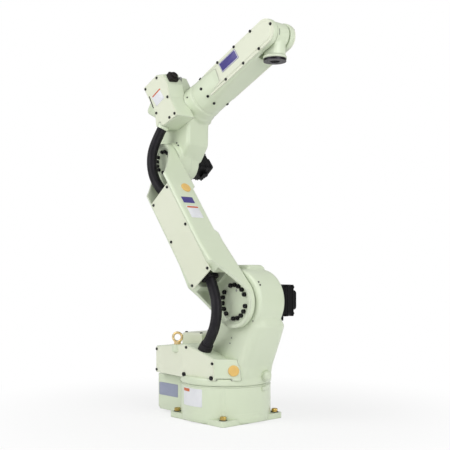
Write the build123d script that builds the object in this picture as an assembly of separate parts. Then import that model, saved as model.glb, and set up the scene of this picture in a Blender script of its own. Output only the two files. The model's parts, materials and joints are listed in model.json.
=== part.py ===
from build123d import *
import math
import os

os.makedirs("parts", exist_ok=True)

# An industrial robot arm with six turning joints, in millimetres.
# The origin is on the first joint's axis at the floor, +X points forward, +Z up.
# The near side is -Y: the arm's cover and the two hoses lie there, the motors on the far side.

# Kinematics in the pose shown
SHOULDER_X = 180.0
SHOULDER_Z = 512.0
ARM_LENGTH = 778.0
ARM_LEAN = 37.24
ELBOW_OFFSET = 190.0
FOREARM_LENGTH = 730.0
FOREARM_RISE = 24.0
TOOL_REACH = 108.0

# Clearances
JOINT_GAP = 5.0
FIT_GAP = 0.3
BEARING_GAP = 6.0

# Base
PLATE_SIDE = 350.0
PLATE_THICK = 24.0
PLATE_CORNER = 14.0
ANCHOR_PITCH = 300.0
ANCHOR_HOLE = 18.0
ANCHOR_SEAT = 19.0
BASE_RADIUS = 195.0
BASE_TOP = 153.0
BASE_NECK = 26.0
CONNECTOR_REAR = 325.0
CONNECTOR_HALF_WIDTH = 120.0
CONNECTOR_BOTTOM = 12.0
CONNECTOR_TOP = 172.0
CONNECTOR_SLOPE = 12.0
PANEL_THICK = 4.0
PANEL_MARGIN = 12.0
PANEL_CORNER = 8.0
SOCKET_REACH = 14.0
SOCKET_WALL = 4.5
BEARING_RADIUS = 150.0
BEARING_BORE = 100.0

# Sockets on the rear panel: place across it, and outside radius
SOCKETS = [(-63.0, 24.0), (-18.0, 24.0), (33.0, 13.5), (78.0, 13.5)]

# Turntable
SKIRT_RADIUS = BASE_RADIUS + 3
SKIRT_HEIGHT = 34.0
HOUSING_RADIUS = 133.0
HOUSING_NEAR = 97.0
HOUSING_FAR = 50.0
HOUSING_ROUND = 12.0
COLUMN_ROUND = 55.0
CAP_RISE = 152.0
CAP_LENGTH = 104.0
CAP_CENTRE = -38.0
CAP_HALF_WIDTH = 45.0
SHOULDER_REDUCER_RADIUS = 96.0
BOX_BOTTOM = 184.0
BOX_FAR = 160.0
SIDE_COVER_THICK = 4.0
TOP_BOX_REAR = 205.0
TOP_BOX_FRONT = 70.0
TOP_BOX_HALF_WIDTH = 78.0
TOP_BOX_TOP = 364.0
EYE_X = -131.0
EYE_Y = 165.0
EYE_OUTER = 25.0
EYE_WIRE = 5.5
EYE_BOSS_RADIUS = 24.0
EYE_BOSS_HEIGHT = 34.0
EYE_BOSS_RISE = 1.0
EYE_COLLAR_RADIUS = 14.5
EYE_TURN = 53.0
PLUG_RADIUS = 23.0
PLUG_HEIGHT = 6.0
PLUG_Z = 226.0

# Sections of the column from the skirt up: height, rear, front, far side
COLUMN_SECTIONS = [
    (193.0, -125.0, 195.0, 114.0),
    (240.0, -60.0, 212.0, 108.0),
    (341.0, 0.0, 268.0, 94.0),
    (411.0, 30.0, 304.0, 84.0),
    (438.0, 45.0, 300.0, 70.0),
]

# The conduit box: its near face in plan, and its top in side view
BOX_PLAN = [(-290.0, -156.0), (-81.0, -177.0), (111.0, -167.0), (186.0, -90.0)]
BOX_TOP = [(-300.0, 301.0), (-60.0, 326.0), (20.0, 304.0), (112.0, 274.0), (200.0, 270.0)]

STOP_OUT = 7.0
STOP_Y = 45.0
STOP_LENGTH = 36.0
STOP_WIDTH = 44.0
STOP_HEIGHT = 42.0
STOP_ROUND = 12.0

# Motors
MOTOR_FLANGE = 140.0
MOTOR_FLANGE_THICK = 18.0
MOTOR_BODY = 132.0
MOTOR_BODY_SHARE = 0.74
MOTOR_CAP = 84.0
MOTOR_CORNER = 14.0
MOTOR_CHAMFER = 5.0
MOTOR_PLUG_AT = 0.52
MOTOR_PLUG_WIDTH = 40.0
MOTOR_PLUG_DEPTH = 44.0
MOTOR_PLUG_LENGTH = 34.0
MOTOR_LENGTH = 166.0
ELBOW_MOTOR_SCALE = 0.72

# Lower arm
ARM_BACK = 102.0
ARM_DEPTH = 133.0
ARM_FLOOR = 15.0
ARM_RIM = 24.0
ARM_WALL = 13.0
ARM_RELIEF = 16.0
ARM_RELIEF_START = 300.0
ARM_RELIEF_END = 556.0
ARM_FOOT_RADIUS = 108.0
ARM_WAIST_RADIUS = 84.0
ARM_HEAD_RADIUS = 82.0
ARM_WAIST_LOW = 250.0
ARM_WAIST_HIGH = 600.0
ARM_ROUND = 11.0
ARM_PLUG_AT = 545.0
COVER_START = 113.0
COVER_END = 578.0
COVER_HALF_WIDTH = 70.0
COVER_THICK = 4.0
CHANNEL_HALF_WIDTH = 50.0
FOOT_RECESS = 80.0
HEAD_RECESS = 58.0
RECESS_DEPTH = 3.0
SCOOP_LENGTH = 150.0
SCOOP_START = 20.0
SCOOP_MIDDLE = 45.0
SCOOP_RISE = 34.0

# Hoses
HOSE_DIAMETER = 45.0
BOOT_SIDE = 58.0

# The routes of the two hoses, measured from the joint that each one bends round
LOWER_HOSE_ROUTE = [
    (-72.0, -183.0, 92.0),
    (-43.0, -183.0, 34.0),
    (-36.0, -179.0, -30.0),
    (-55.0, -170.0, -91.0),
    (-92.0, -159.0, -143.0),
    (-137.0, -147.0, -187.0),
]
UPPER_HOSE_ROUTE = [
    (94.0, -183.0, -158.0),
    (52.0, -183.0, -122.0),
    (14.0, -182.0, -78.0),
    (-10.0, -178.0, -24.0),
    (-18.0, -170.0, 34.0),
    (-10.0, -155.0, 90.0),
    (11.0, -136.0, 146.0),
]

# Upper arm: outlines along and above the roll axis
BODY_OUTLINE = [
    (-66.0, 118.0),
    (10.0, 160.0),
    (120.0, 160.0),
    (180.0, 80.0),
    (180.0, -82.0),
    (131.0, -48.0),
    (-10.0, 52.0),
]
WEB_OUTLINE = [
    (-12.0, 78.0),
    (150.0, 40.0),
    (200.0, -70.0),
    (180.0, -92.0),
    (142.0, -172.0),
    (96.0, -200.0),
    (40.0, -230.0),
    (-20.0, -215.0),
    (-46.0, -38.0),
]
DUCT_OUTLINE = [
    (44.0, 172.0),
    (150.0, 172.0),
    (196.0, 146.0),
    (206.0, 88.0),
    (196.0, 27.0),
    (214.0, -78.0),
    (152.0, -72.0),
    (106.0, -68.0),
    (54.0, -40.0),
    (72.0, 24.0),
]
DUCT_NEAR = 150.0
DUCT_EDGE = 4.0
DUCT_DRAFT = 12.0
CONNECTOR_Y = 118.0
CONNECTOR_SIDE = 44.0
CONNECTOR_REACH = 26.0
CABLE_BOX_FAR = -20.0
CABLE_BOX_LOW = 60.0
SPOUT_RADIUS = 27.0
SPOUT_LENGTH = 30.0
ELBOW_RADIUS = 88.0
ELBOW_FAR = 30.0
ELBOW_FAR_RADIUS = 76.0
ELBOW_STEP = -20.0
ELBOW_NEAR = 97.0
ELBOW_REDUCER_RADIUS = 70.0
BODY_HALF_WIDTH = 86.0
BODY_ROUND = 16.0
WEB_NEAR = 76.0
WEB_FAR = 50.0
WEB_ROUND = 14.0
GEAR_FRONT = 258.0
ROLL_RADIUS = 84.0

# Forearm and wrist
FOREARM_ROOT_RADIUS = 82.0
FOREARM_START = 262.0
FOREARM_ROOT_LENGTH = 40.0
FOREARM_NECK = 400.0
FOREARM_HALF_WIDTH = 60.0
FOREARM_HALF_HEIGHT = 62.0
FOREARM_FORK = 70.0
FORK_RADIUS = 56.0
SIDE_PANEL_START = 352.0
SIDE_PANEL_THICK = 3.0
SIDE_PANEL_STEP = 11.0
WRIST_SLOT = 76.0
SLOT_DEPTH = 104.0
WRIST_RADIUS = 52.0
WRIST_NECK_RADIUS = 44.0
WRIST_HUB_RADIUS = 27.0
FLANGE_RADIUS = 47.0
FLANGE_THICK = 15.0
FLANGE_PILOT = 40.0
FLANGE_PITCH = 63.0
FLANGE_HOLE = 6.0
FLANGE_BOLT_DEPTH = 10.0
FLANGE_PILOT_DEPTH = 6.0


def write(solid, name):
    """Write one named piece."""
    export_step(solid, f"parts/{name}.step")


lean = math.radians(ARM_LEAN)
rise = math.radians(FOREARM_RISE)
arm_dir = Vector(-math.sin(lean), 0, math.cos(lean))
fore_dir = Vector(math.cos(rise), 0, math.sin(rise))
fore_up = Vector(-math.sin(rise), 0, math.cos(rise))
shoulder = Vector(SHOULDER_X, 0, SHOULDER_Z)
elbow = shoulder + arm_dir * ARM_LENGTH
roll_foot = elbow + fore_up * ELBOW_OFFSET
wrist_centre = roll_foot + fore_dir * FOREARM_LENGTH
near = Vector(0, -1, 0)

low_skirt = BASE_TOP + BEARING_GAP
lower_route = [shoulder + Vector(*step) for step in LOWER_HOSE_ROUTE]
upper_route = [elbow + Vector(*step) for step in UPPER_HOSE_ROUTE]

print("elbow", elbow, "wrist", wrist_centre)


def arm_plane(depth):
    """Plane of the lower arm: x along the arm, z to the near side, at a depth from its back."""
    return Plane(origin=shoulder + near * (ARM_BACK + depth), x_dir=arm_dir, z_dir=near)


def fore_plane(reach):
    """Plane of the upper arm and forearm, x along the roll axis, z to the near side."""
    return Plane(origin=roll_foot + near * reach, x_dir=fore_dir, z_dir=near)


def bar(plane, sketch, amount):
    """A sketch on a plane, extruded along the plane's normal."""
    return extrude(plane * sketch, amount)


def cyl(centre, axis, radius, length):
    """A cylinder that starts at a point and runs along an axis."""
    return Solid.make_cylinder(radius, length, Plane(origin=centre, z_dir=axis))


def rounded_square(side, corner):
    return RectangleRounded(side, side, corner)


def base_casting():
    plate = extrude(rounded_square(PLATE_SIDE, PLATE_CORNER), PLATE_THICK)
    outline = Polyline(
        (0, 0),
        (BASE_RADIUS - BASE_NECK, 0),
        (BASE_RADIUS - BASE_NECK, PLATE_THICK),
        (BASE_RADIUS, PLATE_THICK + BASE_NECK / 2),
        (BASE_RADIUS, BASE_TOP),
        (0, BASE_TOP),
        (0, 0),
    )
    drum = revolve(Plane.XZ * make_face(outline), Axis.Z)
    body = plate + drum
    for sx in (-1, 1):
        for sy in (-1, 1):
            spot = (sx * ANCHOR_PITCH / 2, sy * ANCHOR_PITCH / 2, 0)
            body -= Pos(*spot) * Cylinder(ANCHOR_HOLE / 2, 3 * PLATE_THICK)
            body -= Pos(*spot) * Pos(0, 0, PLATE_THICK) * Cylinder(
                ANCHOR_SEAT, 200, align=(Align.CENTER, Align.CENTER, Align.MIN)
            )
    body -= Pos(0, 0, BASE_TOP) * Cylinder(BEARING_BORE, 60)
    return body


def base_connector_box():
    outline = Polyline(
        (-CONNECTOR_REAR, CONNECTOR_BOTTOM + CONNECTOR_SLOPE),
        (-CONNECTOR_REAR + CONNECTOR_SLOPE, CONNECTOR_BOTTOM),
        (0, CONNECTOR_BOTTOM),
        (0, CONNECTOR_TOP),
        (-CONNECTOR_REAR, CONNECTOR_TOP),
        (-CONNECTOR_REAR, CONNECTOR_BOTTOM + CONNECTOR_SLOPE),
    )
    box = extrude(Plane.XZ * make_face(outline), CONNECTOR_HALF_WIDTH, both=True)
    keep_out = Cylinder(BASE_RADIUS, 800) + extrude(
        rounded_square(PLATE_SIDE, PLATE_CORNER), PLATE_THICK
    )
    swing = Pos(0, 0, BASE_TOP - JOINT_GAP) * Cylinder(
        SKIRT_RADIUS + JOINT_GAP, 200, align=(Align.CENTER, Align.CENTER, Align.MIN)
    )
    return box - keep_out - swing


def connector_panel():
    height = CONNECTOR_TOP - CONNECTOR_BOTTOM - CONNECTOR_SLOPE - 2 * PANEL_MARGIN
    middle = CONNECTOR_TOP - PANEL_MARGIN - height / 2
    width = 2 * (CONNECTOR_HALF_WIDTH - PANEL_MARGIN)
    face = Plane(origin=(-CONNECTOR_REAR, 0, middle), x_dir=(0, -1, 0), z_dir=(-1, 0, 0))
    panel = extrude(face * RectangleRounded(width, height, PANEL_CORNER), PANEL_THICK)
    for across, radius in SOCKETS:
        panel += extrude(face * Pos(across, 0) * Circle(radius), PANEL_THICK + SOCKET_REACH)
        mouth = face * Pos(across, 0, PANEL_THICK)
        panel -= extrude(mouth * Circle(radius - SOCKET_WALL), SOCKET_REACH)
    return panel


def swing_bearing():
    ring = Cylinder(BEARING_RADIUS, BEARING_GAP - FIT_GAP, align=(Align.CENTER, Align.CENTER, Align.MIN))
    ring -= Cylinder(BEARING_BORE, 60)
    return Pos(0, 0, BASE_TOP) * ring


def column():
    """The column, lofted through rounded sections that lean forward and grow narrow."""
    sections = []
    for height, rear, front, far in COLUMN_SECTIONS:
        outline = RectangleRounded(front - rear, far + HOUSING_NEAR, COLUMN_ROUND)
        sections.append(Pos((front + rear) / 2, (far - HOUSING_NEAR) / 2, height) * outline)
    return loft(sections, ruled=True)


def turntable_casting():
    skirt = Pos(0, 0, low_skirt) * Cylinder(
        SKIRT_RADIUS, SKIRT_HEIGHT, align=(Align.CENTER, Align.CENTER, Align.MIN)
    )
    skirt = chamfer(skirt.edges().group_by(Axis.Z)[-1], 6)
    housing = cyl(shoulder + near * HOUSING_NEAR, -near, HOUSING_RADIUS, HOUSING_NEAR + HOUSING_FAR)
    housing = fillet(housing.edges().filter_by(GeomType.CIRCLE), HOUSING_ROUND)
    cap = Pos(SHOULDER_X + CAP_CENTRE, 0, SHOULDER_Z) * Box(
        CAP_LENGTH, 2 * CAP_HALF_WIDTH, CAP_RISE, align=(Align.CENTER, Align.CENTER, Align.MIN)
    )
    cap = chamfer(cap.edges().group_by(Axis.Z)[-1], 9)
    return skirt + column() + housing + cap


def shoulder_reducer():
    """The output flange between the housing and the lower arm."""
    return cyl(
        shoulder + near * (HOUSING_NEAR + FIT_GAP),
        near,
        SHOULDER_REDUCER_RADIUS,
        ARM_BACK - HOUSING_NEAR - FIT_GAP,
    )


def motor(length, scale):
    """A servo motor along +Z from its flange at z = 0, with its end cap."""
    corner, edge = MOTOR_CORNER * scale, MOTOR_CHAMFER * scale
    flange = extrude(rounded_square(MOTOR_FLANGE * scale, corner), MOTOR_FLANGE_THICK * scale)
    body = extrude(rounded_square(MOTOR_BODY * scale, corner), length * MOTOR_BODY_SHARE)
    body = chamfer(body.edges().group_by(Axis.Z)[-1], edge)
    cap = extrude(rounded_square(MOTOR_CAP * scale, corner), length)
    cap = chamfer(cap.edges().group_by(Axis.Z)[-1], edge)
    plug = Pos(0, MOTOR_BODY * scale / 2, length * MOTOR_PLUG_AT) * Box(
        MOTOR_PLUG_WIDTH * scale, MOTOR_PLUG_DEPTH * scale, MOTOR_PLUG_LENGTH * scale
    )
    return flange + body + cap + plug


def shoulder_motor():
    seat = Plane(origin=shoulder - near * HOUSING_FAR, x_dir=(1, 0, 0), z_dir=(0, 1, 0))
    return seat * motor(MOTOR_LENGTH, 1.0)


def elbow_seat():
    """The face that the elbow motor stands on."""
    return Plane(
        origin=elbow - near * ELBOW_FAR,
        x_dir=(math.cos(lean), 0, math.sin(lean)),
        z_dir=(0, 1, 0),
    )


def elbow_motor():
    return elbow_seat() * motor(MOTOR_LENGTH * ELBOW_MOTOR_SCALE, ELBOW_MOTOR_SCALE)


def box_profile(lift):
    """Side outline of the conduit box, with its top raised or lowered."""
    rear, front = BOX_TOP[0][0], BOX_TOP[-1][0]
    tops = [(x, z + lift) for x, z in BOX_TOP]
    outline = Polyline((rear, BOX_BOTTOM), *tops, (front, BOX_BOTTOM), close=True)
    return extrude(Plane.XZ * make_face(outline), 400, both=True)


def conduit_box():
    """The box behind and beside the column, with a crease in its near face."""
    rear = BOX_PLAN[0][0]
    plan = Polyline(*BOX_PLAN, (BOX_PLAN[-2][0], BOX_FAR), (rear, BOX_FAR), close=True)
    box = Pos(0, 0, BOX_BOTTOM) * extrude(make_face(plan), 300)
    box &= box_profile(0)
    for side in (-1, 1):
        top = box_top_at(EYE_X) + EYE_BOSS_RISE
        boss = cyl((EYE_X, side * EYE_Y, top - EYE_BOSS_HEIGHT), (0, 0, 1), EYE_BOSS_RADIUS, EYE_BOSS_HEIGHT)
        box += fillet(boss.edges().group_by(Axis.Z)[0], 8)
    return box - Pos(0, 0, low_skirt) * Cylinder(
        SKIRT_RADIUS, SKIRT_HEIGHT, align=(Align.CENTER, Align.CENTER, Align.MIN)
    )


def conduit_side_cover():
    """The folded cover plate on the near side of the conduit box."""
    inner = BOX_PLAN[:3]
    outer = [(x, y - SIDE_COVER_THICK) for x, y in reversed(inner)]
    strip = extrude(make_face(Polyline(*inner, *outer, close=True)), 600)
    return strip & box_profile(-SIDE_COVER_THICK)


def rear_top_cover():
    """The raised housing on the conduit box, behind the column."""
    length = TOP_BOX_REAR - TOP_BOX_FRONT
    low = BOX_TOP[0][1] - 40
    block = Pos(-(TOP_BOX_REAR + TOP_BOX_FRONT) / 2, 0, low) * Box(
        length,
        2 * TOP_BOX_HALF_WIDTH,
        TOP_BOX_TOP - low,
        align=(Align.CENTER, Align.CENTER, Align.MIN),
    )
    return chamfer(block.edges().group_by(Axis.Z)[-1], 8)


def box_top_at(x):
    """Height of the conduit box's top behind its highest line."""
    (x0, z0), (x1, z1) = BOX_TOP[:2]
    return z0 + (x - x0) / (x1 - x0) * (z1 - z0)


def eye_bolt(side):
    """A lifting eye standing on its boss at the edge of the conduit box."""
    low = box_top_at(EYE_X) + EYE_BOSS_RISE
    collar = cyl((EYE_X, side * EYE_Y, low), (0, 0, 1), EYE_COLLAR_RADIUS, 2 * EYE_WIRE)
    centre = (EYE_X, side * EYE_Y, low + EYE_OUTER + EYE_WIRE)
    turn = math.radians(side * EYE_TURN)
    facing = Plane(origin=centre, z_dir=(math.cos(turn), math.sin(turn), 0))
    return collar + Solid.make_torus(EYE_OUTER - EYE_WIRE, EYE_WIRE, facing)


def plug(seat):
    """A domed plastic plug, low and round, on a seat plane."""
    rim = extrude(seat * Circle(PLUG_RADIUS), PLUG_HEIGHT)
    return fillet(rim.edges().group_by(Axis(seat.origin, seat.z_dir))[-1], PLUG_HEIGHT * 0.8)


def turntable_plug():
    """The plug on the slanting face between the conduit box and the column."""
    (x0, y0), (x1, y1) = BOX_PLAN[-2:]
    run = Vector(x1 - x0, y1 - y0, 0)
    spot = Vector(x0, y0, PLUG_Z) + run * 0.76
    return plug(Plane(origin=spot, x_dir=run.normalized(), z_dir=run.cross(Vector(0, 0, 1))))


def lower_arm_plug():
    """The plug on the front wall of the lower arm."""
    front = Vector(math.cos(lean), 0, math.sin(lean))
    spot = shoulder + arm_dir * ARM_PLUG_AT + front * ARM_WAIST_RADIUS + near * (ARM_BACK + ARM_DEPTH * 0.42)
    return plug(Plane(origin=spot, x_dir=arm_dir, z_dir=front))


def arm_outline(shrink):
    """Outline of the lower arm: tangent lines between four round stations."""
    stations = (
        (0, ARM_FOOT_RADIUS),
        (ARM_WAIST_LOW, ARM_WAIST_RADIUS),
        (ARM_WAIST_HIGH, ARM_WAIST_RADIUS),
        (ARM_LENGTH, ARM_HEAD_RADIUS),
    )
    shape = None
    for (s0, r0), (s1, r1) in zip(stations, stations[1:]):
        low = Pos(s0, 0) * Circle(r0 - shrink)
        high = Pos(s1, 0) * Circle(r1 - shrink)
        part = make_hull(low.edges() + high.edges())
        shape = part if shape is None else shape + part
    return shape


def end_scoop(centre, sign):
    """Side profile that takes the near walls down to a low rim round an end of the arm."""
    far = centre - sign * SCOOP_LENGTH
    start = centre - sign * SCOOP_START
    middle = centre + sign * SCOOP_MIDDLE
    end = centre + sign * SCOOP_LENGTH
    outline = Line((far, ARM_RIM), (start, ARM_RIM))
    outline += ThreePointArc((start, ARM_RIM), (middle, ARM_RIM + SCOOP_RISE), (end, ARM_DEPTH + 1))
    outline += Line((end, ARM_DEPTH + 1), (far, ARM_DEPTH + 1))
    outline += Line((far, ARM_DEPTH + 1), (far, ARM_RIM))
    profile_plane = Plane(
        origin=shoulder + near * ARM_BACK, x_dir=arm_dir, z_dir=arm_dir.cross(near)
    )
    return extrude(profile_plane * make_face(outline), 300, both=True)


def lower_arm_casting():
    back = arm_plane(0)
    body = bar(back, arm_outline(0), ARM_DEPTH)
    body = fillet(body.edges().group_by(Axis.Y)[0], ARM_ROUND)
    relief = bar(
        back,
        Pos((ARM_RELIEF_START + ARM_RELIEF_END) / 2, 0)
        * Rectangle(ARM_RELIEF_END - ARM_RELIEF_START, 4 * ARM_WAIST_RADIUS),
        ARM_RELIEF,
    )
    body -= chamfer(relief.edges().filter_by(Axis(shoulder, back.y_dir)).group_by(Axis.Y)[0], ARM_RELIEF * 0.9)
    body -= end_scoop(0, 1)
    body -= end_scoop(ARM_LENGTH, -1)
    bowl = bar(arm_plane(ARM_FLOOR), arm_outline(ARM_WALL), ARM_DEPTH)
    bowl = fillet(bowl.edges().group_by(Axis.Y)[-1], 14)
    low_end = bar(arm_plane(-1), Pos(COVER_START - 400, 0) * Rectangle(800, 400), ARM_DEPTH + 20)
    high_end = bar(arm_plane(-1), Pos(COVER_END + 400, 0) * Rectangle(800, 400), ARM_DEPTH + 20)
    middle = (COVER_START + COVER_END) / 2
    length = COVER_END - COVER_START
    channel = bar(
        arm_plane(ARM_RELIEF + ARM_WALL),
        Pos(middle, 0) * Rectangle(length + 2, 2 * CHANNEL_HALF_WIDTH),
        ARM_DEPTH,
    )
    seat = bar(
        arm_plane(ARM_DEPTH - COVER_THICK),
        Pos(middle, 0) * Rectangle(length, 2 * COVER_HALF_WIDTH),
        ARM_DEPTH,
    )
    body -= bowl & low_end
    body -= bowl & high_end
    body -= bar(arm_plane(ARM_FLOOR - RECESS_DEPTH), Circle(FOOT_RECESS), ARM_DEPTH)
    body -= bar(arm_plane(ARM_FLOOR - RECESS_DEPTH), Pos(ARM_LENGTH, 0) * Circle(HEAD_RECESS), ARM_DEPTH)
    body -= channel
    body -= seat
    return body


def lower_arm_cover():
    middle = (COVER_START + COVER_END) / 2
    length = COVER_END - COVER_START
    return bar(
        arm_plane(ARM_DEPTH - COVER_THICK),
        Pos(middle, 0) * Rectangle(length - 0.6, 2 * COVER_HALF_WIDTH - 0.6),
        COVER_THICK + 1,
    )


def elbow_reducer():
    return cyl(
        elbow + near * (ELBOW_NEAR + FIT_GAP),
        near,
        ELBOW_REDUCER_RADIUS,
        ARM_BACK - ELBOW_NEAR - 2 * FIT_GAP,
    )


def upper_arm_casting():
    """The casting that carries the elbow motor and turns the forearm about its roll axis."""
    hub = cyl(elbow + near * ELBOW_NEAR, -near, ELBOW_RADIUS, ELBOW_NEAR + ELBOW_STEP)
    hub = chamfer(hub.edges().filter_by(GeomType.CIRCLE), 6)
    seat = cyl(elbow + near * ELBOW_NEAR, -near, ELBOW_FAR_RADIUS, ELBOW_NEAR + ELBOW_FAR)
    web = extrude(fore_plane(WEB_NEAR) * make_face(Polyline(*WEB_OUTLINE, close=True)), -(WEB_NEAR + WEB_FAR))
    web = fillet(web.edges().filter_by(Axis.Y), WEB_ROUND * 1.5)
    web = fillet(web.edges().group_by(Axis.Y)[0] + web.edges().group_by(Axis.Y)[-1], WEB_ROUND)
    outline = make_face(Polyline(*BODY_OUTLINE, close=True))
    body = extrude(fore_plane(BODY_HALF_WIDTH) * outline, -2 * BODY_HALF_WIDTH)
    body = fillet(body.edges().filter_by(Axis.Y), BODY_ROUND * 1.2)
    body = fillet(body.edges().group_by(Axis.Y)[0] + body.edges().group_by(Axis.Y)[-1], BODY_ROUND)
    barrel = cyl(roll_foot, fore_dir, ROLL_RADIUS + 4, GEAR_FRONT - 40)
    barrel = fillet(barrel.edges().sort_by(Axis(roll_foot, fore_dir))[-1], 10)
    collar = cyl(roll_foot, fore_dir, ROLL_RADIUS, GEAR_FRONT)
    side = MOTOR_FLANGE * ELBOW_MOTOR_SCALE + 2 * JOINT_GAP
    pocket = extrude(elbow_seat() * rounded_square(side, 16), 200)
    return hub + seat + (web - pocket) + body + barrel + collar


def roll_bearing():
    """The bearing face between the upper arm's collar and the root of the forearm."""
    start = GEAR_FRONT + FIT_GAP
    return cyl(roll_foot + fore_dir * start, fore_dir, ROLL_RADIUS - 12, FOREARM_START - start)


def forearm_casting():
    """The tapering forearm: a round root, an oval waist, and two cheeks round the wrist."""
    def at(station):
        return Plane(origin=roll_foot + fore_dir * station, x_dir=(0, 1, 0), z_dir=fore_dir)

    root = cyl(roll_foot + fore_dir * FOREARM_START, fore_dir, FOREARM_ROOT_RADIUS, FOREARM_ROOT_LENGTH)
    mid = RectangleRounded(2 * FOREARM_HALF_WIDTH + 20, 2 * FOREARM_HALF_HEIGHT + 12, 40)
    end = RectangleRounded(2 * FOREARM_HALF_WIDTH, 2 * FORK_RADIUS, 8)
    root_end = FOREARM_START + FOREARM_ROOT_LENGTH
    taper = loft([at(root_end) * Circle(FOREARM_ROOT_RADIUS), at(FOREARM_NECK) * mid])
    fork_start = at(FOREARM_LENGTH - FOREARM_FORK)
    beam = loft([at(FOREARM_NECK) * mid, fork_start * end])
    tip = extrude(fork_start * Rectangle(2 * FOREARM_HALF_WIDTH, 2 * FORK_RADIUS), FOREARM_FORK)
    nose = cyl(wrist_centre + near * FOREARM_HALF_WIDTH, -near, FORK_RADIUS, 2 * FOREARM_HALF_WIDTH)
    body = root + taper + beam + tip + nose
    slot_half = WRIST_SLOT / 2
    slot = cyl(wrist_centre + near * slot_half, -near, SLOT_DEPTH, WRIST_SLOT)
    forward = Plane(origin=wrist_centre, x_dir=(0, 1, 0), z_dir=fore_dir)
    slot += extrude(forward * Rectangle(WRIST_SLOT, 400), 200)
    return body - slot


def forearm_cover(side):
    """The cover on a side of the forearm, round at the wrist end, with a raised panel on it."""
    plane = Plane(
        origin=roll_foot + near * side * FOREARM_HALF_WIDTH, x_dir=fore_dir, z_dir=near * side
    )

    def outline(shrink):
        start = SIDE_PANEL_START + shrink
        half = FORK_RADIUS - 2 - shrink
        tail = Pos((start + FOREARM_LENGTH) / 2, 0) * Rectangle(FOREARM_LENGTH - start, 2 * half)
        return tail + Pos(FOREARM_LENGTH, 0) * Circle(half)

    plate = extrude(plane * outline(0), 2 * SIDE_PANEL_THICK)
    raised = extrude(plane * outline(SIDE_PANEL_STEP), 3 * SIDE_PANEL_THICK)
    raised = chamfer(raised.edges().group_by(Axis.Y)[0 if side > 0 else -1], SIDE_PANEL_THICK * 0.8)
    return plate + raised


def wrist_casting():
    """The wrist: a barrel between the fork's cheeks, its hubs, and the neck of the tool flange."""
    width = WRIST_SLOT - 2 * JOINT_GAP
    barrel = cyl(wrist_centre + near * width / 2, -near, WRIST_RADIUS, width)
    low = TOOL_REACH - FLANGE_THICK - JOINT_GAP
    seat = Pos(wrist_centre.X, 0, wrist_centre.Z - low)
    neck = seat * Cylinder(WRIST_NECK_RADIUS, low, align=(Align.CENTER, Align.CENTER, Align.MIN))
    neck &= seat * Box(4 * WRIST_NECK_RADIUS, width, 4 * low)
    hub_width = WRIST_SLOT - 2 * FIT_GAP
    hub = cyl(wrist_centre + near * hub_width / 2, -near, WRIST_HUB_RADIUS, hub_width)
    return barrel + neck + hub


def tool_flange():
    face = wrist_centre.Z - TOOL_REACH
    disc = Cylinder(FLANGE_RADIUS, FLANGE_THICK, align=(Align.CENTER, Align.CENTER, Align.MIN))
    disc -= Cylinder(FLANGE_PILOT / 2, 2 * FLANGE_PILOT_DEPTH)
    for k in range(6):
        turn = math.radians(60 * k)
        hole = Pos(FLANGE_PITCH / 2 * math.cos(turn), FLANGE_PITCH / 2 * math.sin(turn), 0)
        disc -= hole * Cylinder(FLANGE_HOLE / 2, 2 * FLANGE_BOLT_DEPTH)
    hub = Pos(0, 0, FLANGE_THICK) * Cylinder(
        FLANGE_RADIUS - 14, JOINT_GAP - FIT_GAP, align=(Align.CENTER, Align.CENTER, Align.MIN)
    )
    return Pos(wrist_centre.X, 0, face) * (disc + hub)


def duct_outline(shrink):
    """Outline of the cable duct: a tall head that bends forward and down to the spout."""
    face = make_face(Polyline(*DUCT_OUTLINE, close=True))
    return offset(face, -shrink, kind=Kind.INTERSECTION) if shrink else face


def rear_box():
    """The cable box on top of the upper arm, with the duct down its near side."""
    duct = loft([
        fore_plane(DUCT_NEAR) * duct_outline(0),
        fore_plane(WEB_NEAR) * duct_outline(-DUCT_DRAFT),
    ])
    head = extrude(fore_plane(DUCT_NEAR) * duct_outline(0), -(DUCT_NEAR + CABLE_BOX_FAR))
    above = Pos(0, CABLE_BOX_LOW + 200) * Rectangle(1000, 400)
    head &= extrude(fore_plane(DUCT_NEAR) * above, -2 * DUCT_NEAR)
    return duct + head


def rear_box_cover():
    return extrude(fore_plane(DUCT_NEAR) * duct_outline(DUCT_EDGE), DUCT_EDGE)


def hose(points):
    """A plain tube on straight runs joined by tangent arcs."""
    radii = []
    for before, corner, after in zip(points, points[1:], points[2:]):
        run_in = corner - before
        run_out = after - corner
        turn = math.radians(run_in.get_angle(run_out))
        shorter = min(run_in.length, run_out.length)
        radii.append(0.45 * shorter / math.tan(turn / 2))
    path = FilletPolyline(*points, radius=radii)
    start = Plane(origin=points[0], z_dir=(points[1] - points[0]))
    tube = sweep(start * Circle(HOSE_DIAMETER / 2), path=path)
    section = math.pi * HOSE_DIAMETER**2 / 4
    print(
        "hose length", round(path.length, 1),
        "radii", [round(r) for r in radii],
        "volume share", round(tube.volume / (section * path.length), 4),
    )
    return tube


def hose_boot(end, inner, length):
    """A square boot at the end of a hose, from its face back into what carries it."""
    axis = (end - inner).normalized()
    return extrude(Plane(origin=end, z_dir=axis) * rounded_square(BOOT_SIDE, 12), length)


def hose_spout():
    """The round spout that the upper hose comes out of, under the cable duct."""
    top = upper_route[-1]
    return cyl(top, (top - upper_route[-2]).normalized(), SPOUT_RADIUS, SPOUT_LENGTH)


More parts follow.
